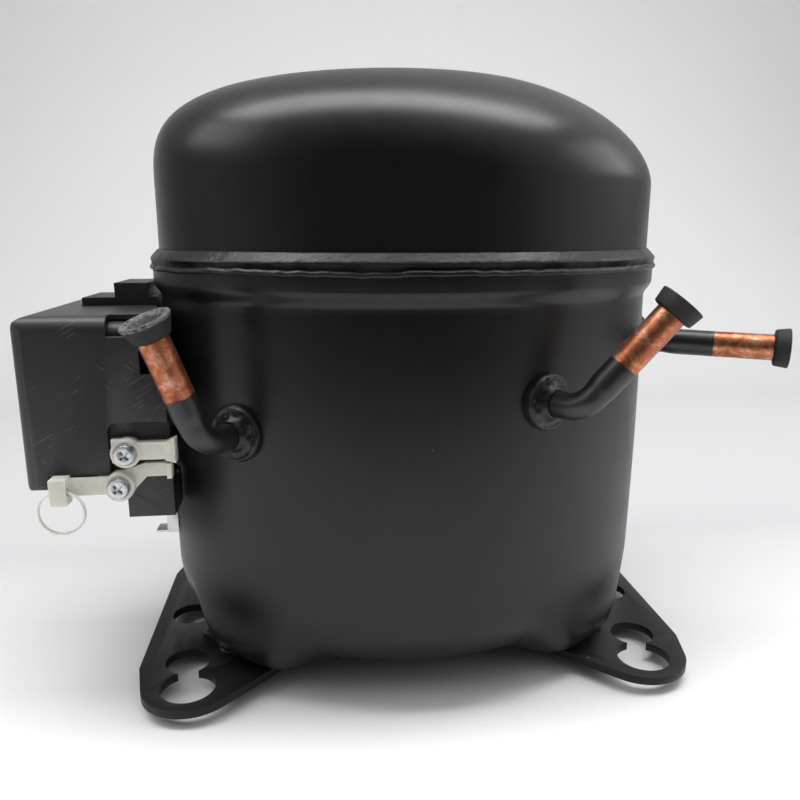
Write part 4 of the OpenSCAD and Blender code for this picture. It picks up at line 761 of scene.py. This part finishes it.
for sideX in (-1, 1):
    for sideY in (-1, 1):
        rows = levels(weldInset, floorZ - form["sunk"] + weldZ, angle)
        seed = form["seed"] + sideX + 3 * sideY
        lump = noiseAt(rows, form["lumpCell"] * mm, seed) * form["lump"] * mm
        outward = rows[..., :2] / np.linalg.norm(rows[..., :2], axis=-1, keepdims=True)
        rows[..., :2] += outward * np.minimum(lump, form["lumpOut"] * mm)[..., None]
        rows[..., 2] = np.maximum(rows[..., 2] + lump * form["lumpUp"], (floorZ - form["sunk"]) * mm)
        weldGrids.append((rows * (sideX, sideY, 1)).transpose(1, 0, 2))
dress(gridPiece("footWeldRuns", weldGrids), weldPaint, "shell", "plate_paint", "foot_welds")
print("shell, seam, plate and foot welds made")

# Tube stubs. Each has its start on the shell, its way out, the way of its socket, the lengths to the
# corner and past it, and how far past the corner the paint goes
stubs = {
    "process": {"at": (-0.687 * halfLength, -0.756 * halfWidth, 93.0), "out": (-0.56, -0.83, 0),
                "along": (-0.315, -0.12, 0.941), "before": 14.8, "after": 35.8, "paint": 17.0},
    "suction": {"at": (0.431 * halfLength, -0.917 * halfWidth, 103.3), "out": (0.531, -0.847, 0),
                "along": (0.62, -0.135, 0.773), "before": 12.4, "after": 38.4, "paint": 18.2},
    "discharge": {"at": (0.967 * halfLength, -0.221 * halfWidth, 116.4), "out": (0.97, -0.235, -0.05),
                  "along": (0.883, -0.47, -0.013), "before": 8.0, "after": 39.8, "paint": 19.2},
}
stubForm = {"inside": 6.5, "bend": 9.5, "thin": 4.35, "thinBore": 3.55, "socket": 4.76, "socketBore": 4.1,
            "swage": 4.0, "lip": 0.35, "lipRings": 7, "around": 56, "straightRings": 12, "bendRings": 24,
            "wobble": 0.05, "wobbleCell": 5, "wobbleSeed": 23}
collarForm = {
    "section": [(4.4, -4.9), (9.6, -4.9), (9.6, -0.4), (8.8, 0.75), (7.5, 0.35), (6.5, 0.75), (5.8, 1.4),
                (5.1, 2.5), (4.42, 3.0), (4.4, -4.9)],  # radius and height over the shell
    "rounding": 0.6, "around": 96, "footZ": -1.5, "footOver": 1.5, "boreR": 4.5, "boreOver": 0.4,
    "lumps": ((0.30, 1.8, 31), (0.35, 5, 37)),  # height, cell in millimetres, seed
}


def unit(vector):  # the same direction, one long
    return np.array(vector, float) / np.linalg.norm(vector)


def stubPath(stub):
    # Straight out of the shell, round a bend whose radius is fixed, then straight to the open end. Gives
    # points, tangents, the distance of each past the corner, a vector square to the path, and the length
    # of the bend on either side of the corner
    at, out, along = np.array(stub["at"]), unit(stub["out"]), unit(stub["along"])
    bendAngle = math.acos(np.clip(out @ along, -1, 1))
    tangent = stubForm["bend"] * math.tan(bendAngle / 2)
    first = np.linspace(-stubForm["inside"], stub["before"] - tangent, stubForm["straightRings"])
    turn = np.linspace(0, bendAngle, stubForm["bendRings"] + 2)[1:-1, None]
    last = np.linspace(tangent, stub["after"], 3 * stubForm["straightRings"])
    inward = unit(along - out * (out @ along))
    centre = at + out * (stub["before"] - tangent) + inward * stubForm["bend"]
    points = [at + out * first[:, None],
              centre + stubForm["bend"] * (np.sin(turn) * out - np.cos(turn) * inward),
              at + out * stub["before"] + along * last[:, None]]
    tangents = [np.repeat(out[None], len(first), 0), np.cos(turn) * out + np.sin(turn) * inward,
                np.repeat(along[None], len(last), 0)]
    past = [first - stub["before"], -tangent + 2 * tangent * turn[:, 0] / bendAngle, last]
    square = unit(np.cross(out, along))
    return np.concatenate(points), np.concatenate(tangents), np.concatenate(past), square, tangent


def carried(points, tangents, side, radius, count):
    # A circle of the given radius at each point of the path, square to its tangent. side stays square to
    # the whole path, so the circles don't twist
    angle = np.linspace(0, 2 * np.pi, count, endpoint=False)
    other = np.cross(tangents, side)
    ring = np.cos(angle)[None, :, None] * side + np.sin(angle)[None, :, None] * other[:, None, :]
    return points[:, None, :] + radius[:, None, None] * ring


for name, stub in stubs.items():
    points, tangents, past, side, tangent = stubPath(stub)
    grow = smoothStep((past - tangent) / stubForm["swage"])
    length = past[-1]
    outer = stubForm["thin"] + (stubForm["socket"] - stubForm["thin"]) * grow
    bore = stubForm["thinBore"] + (stubForm["socketBore"] - stubForm["thinBore"]) * grow
    keep = past < length - stubForm["lip"]
    lipTurn = np.linspace(0, np.pi, stubForm["lipRings"])
    lipMid, lipR = (outer[-1] + bore[-1]) / 2, (outer[-1] - bore[-1]) / 2
    lipPast = length - lipR + lipR * np.sin(lipTurn)
    lipPoints = points[-1] + tangents[-1] * (lipPast - length)[:, None]
    # Up the outside, round the lip and back down the bore
    path = np.concatenate([points[keep], lipPoints, points[keep][::-1]])
    lipTangents = np.repeat(tangents[-1:], len(lipPast), 0)
    pathTangents = np.concatenate([tangents[keep], lipTangents, tangents[keep][::-1]])
    radius = np.concatenate([outer[keep], lipMid + lipR * np.cos(lipTurn), bore[keep][::-1]])
    pastPaint = np.concatenate([past[keep], lipPast, past[keep][::-1]]) - stub["paint"]
    grid = carried(path * mm, pathTangents, side, radius * mm, stubForm["around"])
    wobble = noiseAt(grid, stubForm["wobbleCell"] * mm, stubForm["wobbleSeed"]) * stubForm["wobble"] * mm
    grid = grid + wobble[..., None] * (grid - path[:, None] * mm) / (radius[:, None, None] * mm)
    tube = gridPiece(name + "TubeDrawn", [grid], loop=True,
                     extra={"pastPaint": np.repeat(pastPaint * mm, stubForm["around"])})
    dress(tube, bareCopper, "shell", "tube_metal", name + "_tube")
    # Collar: a raised braze ring round the tube, lumpy, with its foot sunk in the shell
    section = rounded(collarForm["section"], collarForm["rounding"], steps=5)[:-1]
    collarGrid = turned(section, stub["at"], stub["out"], collarForm["around"]).copy()
    free = (np.clip((section[:, 1] - collarForm["footZ"]) / collarForm["footOver"], 0, 1)
            * np.clip((section[:, 0] - collarForm["boreR"]) / collarForm["boreOver"], 0, 1))[:, None, None]
    lump = sum(noiseAt(collarGrid, cell * mm, seed) * high * mm for high, cell, seed in collarForm["lumps"])
    collarGrid += free * lump[..., None] * unit(stub["out"])
    collar = gridPiece(name + "CollarBrazed", [collarGrid], loop=True)
    dress(collar, weldPaint, "shell", "shell_paint", name + "_collar")

# Plugs: a stem in the socket, and a plain disc or a flared, hollow head. Corners are radius and height
# over the socket's end, and each has its own rounding
plugForm = {
    "stem": [(0.02, -10.0), (3.23, -10.0), (4.03, -8.0), (4.03, 0)], "stemRounding": [0, 0.5, 0.6, 0.05],
    "disc": [(6.6, 0), (7.3, 5.0), (6.2, 5.0), (5.4, 4.5), (0.02, 4.4)], "discRounding": [0.7, 0.45, 0.4, 0.6, 0],
    "flare": [(5.56, 0), (6.16, 1.6), (7.4, 5.0), (7.9, 6.4), (7.3, 7.0), (6.2, 6.1), (2.2, 2.7), (0.02, 2.4)],
    "flareRounding": [0.4, 1.2, 0.8, 0.4, 0.4, 0.8, 1.4, 0], "around": 80,
}
# Where the dust and painted highlight on a rim start, by radius and height, and how strong they are
dustAndHighlightPlaces = {"disc": {"radius": 6.2, "height": 4.2, "strength": 0.25},
            "flare": {"radius": 5.0, "height": 5.0, "strength": 1.0}, "acrossR": 1.2, "acrossZ": 0.8}
rimPress = {"way": (-0.31, -0.95, 0), "radius": 7.9, "height": 7, "power": 1.5, "depth": 1.1}
for name, head in (("process", "flare"), ("suction", "disc"), ("discharge", "disc")):
    stub, dustAndHighlight = stubs[name], dustAndHighlightPlaces[head]
    way = unit(stub["along"])
    end = np.array(stub["at"]) + unit(stub["out"]) * stub["before"] + way * stub["after"]
    radii = plugForm["stemRounding"] + plugForm[head + "Rounding"]
    section = rounded(plugForm["stem"] + plugForm[head], radii, steps=6)
    # Dust and painted highlight on the upper rim
    rim = (smoothStep((section[:, 0] - dustAndHighlight["radius"]) / dustAndHighlightPlaces["acrossR"])
           * smoothStep((section[:, 1] - dustAndHighlight["height"]) / dustAndHighlightPlaces["acrossZ"]))
    body = turned(section, end, stub["along"], plugForm["around"])
    if head == "flare":  # the soft rim is pressed down on the side away from the shell
        facing = np.clip((body - end * mm) @ unit(rimPress["way"]) / (rimPress["radius"] * mm) * 0.5 + 0.5, 0, 1)
        pressed = facing ** rimPress["power"] * np.clip(section[:, 1] / rimPress["height"], 0, 1)[:, None]
        body -= (pressed * rimPress["depth"] * mm)[..., None] * way
    rimDustAndHighlight = np.repeat(rim * dustAndHighlight["strength"], plugForm["around"])
    plug = gridPiece(name + "PlugMoulded", [body], extra={"rimDustAndHighlight": rimDustAndHighlight})
    dress(plug, plugRubber, name + "_plug", "plug_rubber", name + "_plug")
print("tubes, collars and plugs made")

# Electrical box, clamp and screws: rounded copies of their solids
mouldings = {  # node: (edge radius in millimetres, finish, body, slot)
    "box_cover": (0.55, coverPlastic, "box_cover", "cover_plastic"),
    "box_base": (0.35, basePlastic, "shell", "base_plastic"),
    "clamp_body": (0.45, clampNylon, "shell", "clamp_plastic"),
    "clamp_strap": (0.45, clampNylon, "clamp_strap", "clamp_plastic"),
    "clamp_screws": (0.14, zincPlate, "shell", "zinc"),
    "start_relay": (0.5, relayPlastic, "shell", "relay_plastic"),
    "overload_protector": (0.6, overloadPlastic, "shell", "overload_plastic"),
    "ground_tab": (0.12, zincPlate, "shell", "zinc"),
    "terminal_bracket": (0.2, platePaint, "shell", "plate_paint"),
}
for nodeName, (radius, finish, body, slotName) in mouldings.items():
    words = nodeName.split("_")
    copy = roundedCopy(nodeName, words[0] + "".join(word.title() for word in words[1:]) + "Rounded", radius)
    dress(copy, finish, body, slotName, nodeName)

# Tie loop: a thin band of nylon with rounded edges, turned to a ring in the place of its solid
loopForm = {"thick": 0.75, "wide": 1.3, "rounding": 0.3, "around": 120}
loopLow, loopHigh = np.array(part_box("tie_ring")) / mm
loopOuter, loopHalf = (loopHigh[0] - loopLow[0]) / 2, loopForm["wide"] / 2
loopInner = loopOuter - loopForm["thick"]
corners = [(loopInner, -loopHalf), (loopOuter, -loopHalf), (loopOuter, loopHalf), (loopInner, loopHalf)]
bandSection = rounded(corners + corners[:2], loopForm["rounding"], steps=4)[1:-1]
band = turned(bandSection, (loopLow + loopHigh) / 2, (0, 1, 0), loopForm["around"])
tieLoop = gridPiece("tieLoopNylon", [band], loop=True)
dress(tieLoop, tieNylon, "tie_ring", "clamp_plastic", "tie_ring")
print("box, clamp and tie loop made")

# Inside the shell: the springs as smooth sweeps along helices, the rest with their own finish
springForm = {"coils": 4.5, "coilR": 6.3, "wireR": 0.9, "around": 12, "perCoil": 40}
form = springForm
springLow, springHigh = np.array(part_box("suspension_springs")) / mm
steps = np.linspace(0, 1, int(form["coils"] * form["perCoil"]) + 1)
lowZ, highZ = springLow[2] + form["wireR"], springHigh[2] - form["wireR"]
climb = (highZ - lowZ) / (2 * math.pi * form["coils"])
coilTurn = 2 * np.pi * form["coils"] * steps[:, None]
away = np.concatenate([np.cos(coilTurn), np.sin(coilTurn), 0 * coilTurn], 1)
coilX, coilY = form["coilR"] * np.cos(coilTurn), form["coilR"] * np.sin(coilTurn)
wireWay = np.concatenate([-coilY, coilX, climb + 0 * coilTurn], 1)
wireWay /= np.linalg.norm(wireWay, axis=1, keepdims=True)
upward = np.cross(away, wireWay)
wireTurn = np.linspace(0, 2 * np.pi, form["around"], endpoint=False)
ring = np.cos(wireTurn)[None, :, None] * away[:, None] + np.sin(wireTurn)[None, :, None] * upward[:, None]
springGrids = []
for x in (springLow[0] + form["coilR"] + form["wireR"], springHigh[0] - form["coilR"] - form["wireR"]):
    for y in (springLow[1] + form["coilR"] + form["wireR"], springHigh[1] - form["coilR"] - form["wireR"]):
        path = np.concatenate([x + coilX, y + coilY, lowZ + (highZ - lowZ) * steps[:, None]], 1)
        springGrids.append((path[:, None] + form["wireR"] * ring) * mm)
springs = gridPiece("suspensionSpringsCoiled", springGrids)
dress(springs, springWire, "shell", "spring_steel", "suspension_springs")

innerFinishes = {
    "terminal_body": tinnedSteel, "terminal_glass": sealGlass, "terminal_pins": zincPlate,
    "stator_core": laminations, "windings": windingWire, "stator_bolts": groundSteel, "motor_plug": mufflerPlastic,
    "rotor_core": laminations, "rotor_end_rings": rotorCast, "crankshaft": castIron, "oil_pickup": groundSteel,
    "thrust_washer": bronze, "crankcase": castIron, "piston": castIron, "wrist_pin": groundSteel,
    "connecting_rod": groundSteel, "valve_plate": groundSteel, "cylinder_head": castIron, "head_gasket": gasketFibre,
    "head_bolts": zincPlate, "suction_muffler": mufflerPlastic, "discharge_muffler": tinnedSteel,
    "shock_loop": lineCopper, "spring_seats": tinnedSteel, "spring_caps": mufflerPlastic,
}
for nodeName, finish in innerFinishes.items():
    target = cadNodes[nodeName]
    if not target.material_slots:
        target.data.materials.append(finish)
    for slot in target.material_slots:
        slot.material = finish
print("inner parts finished")
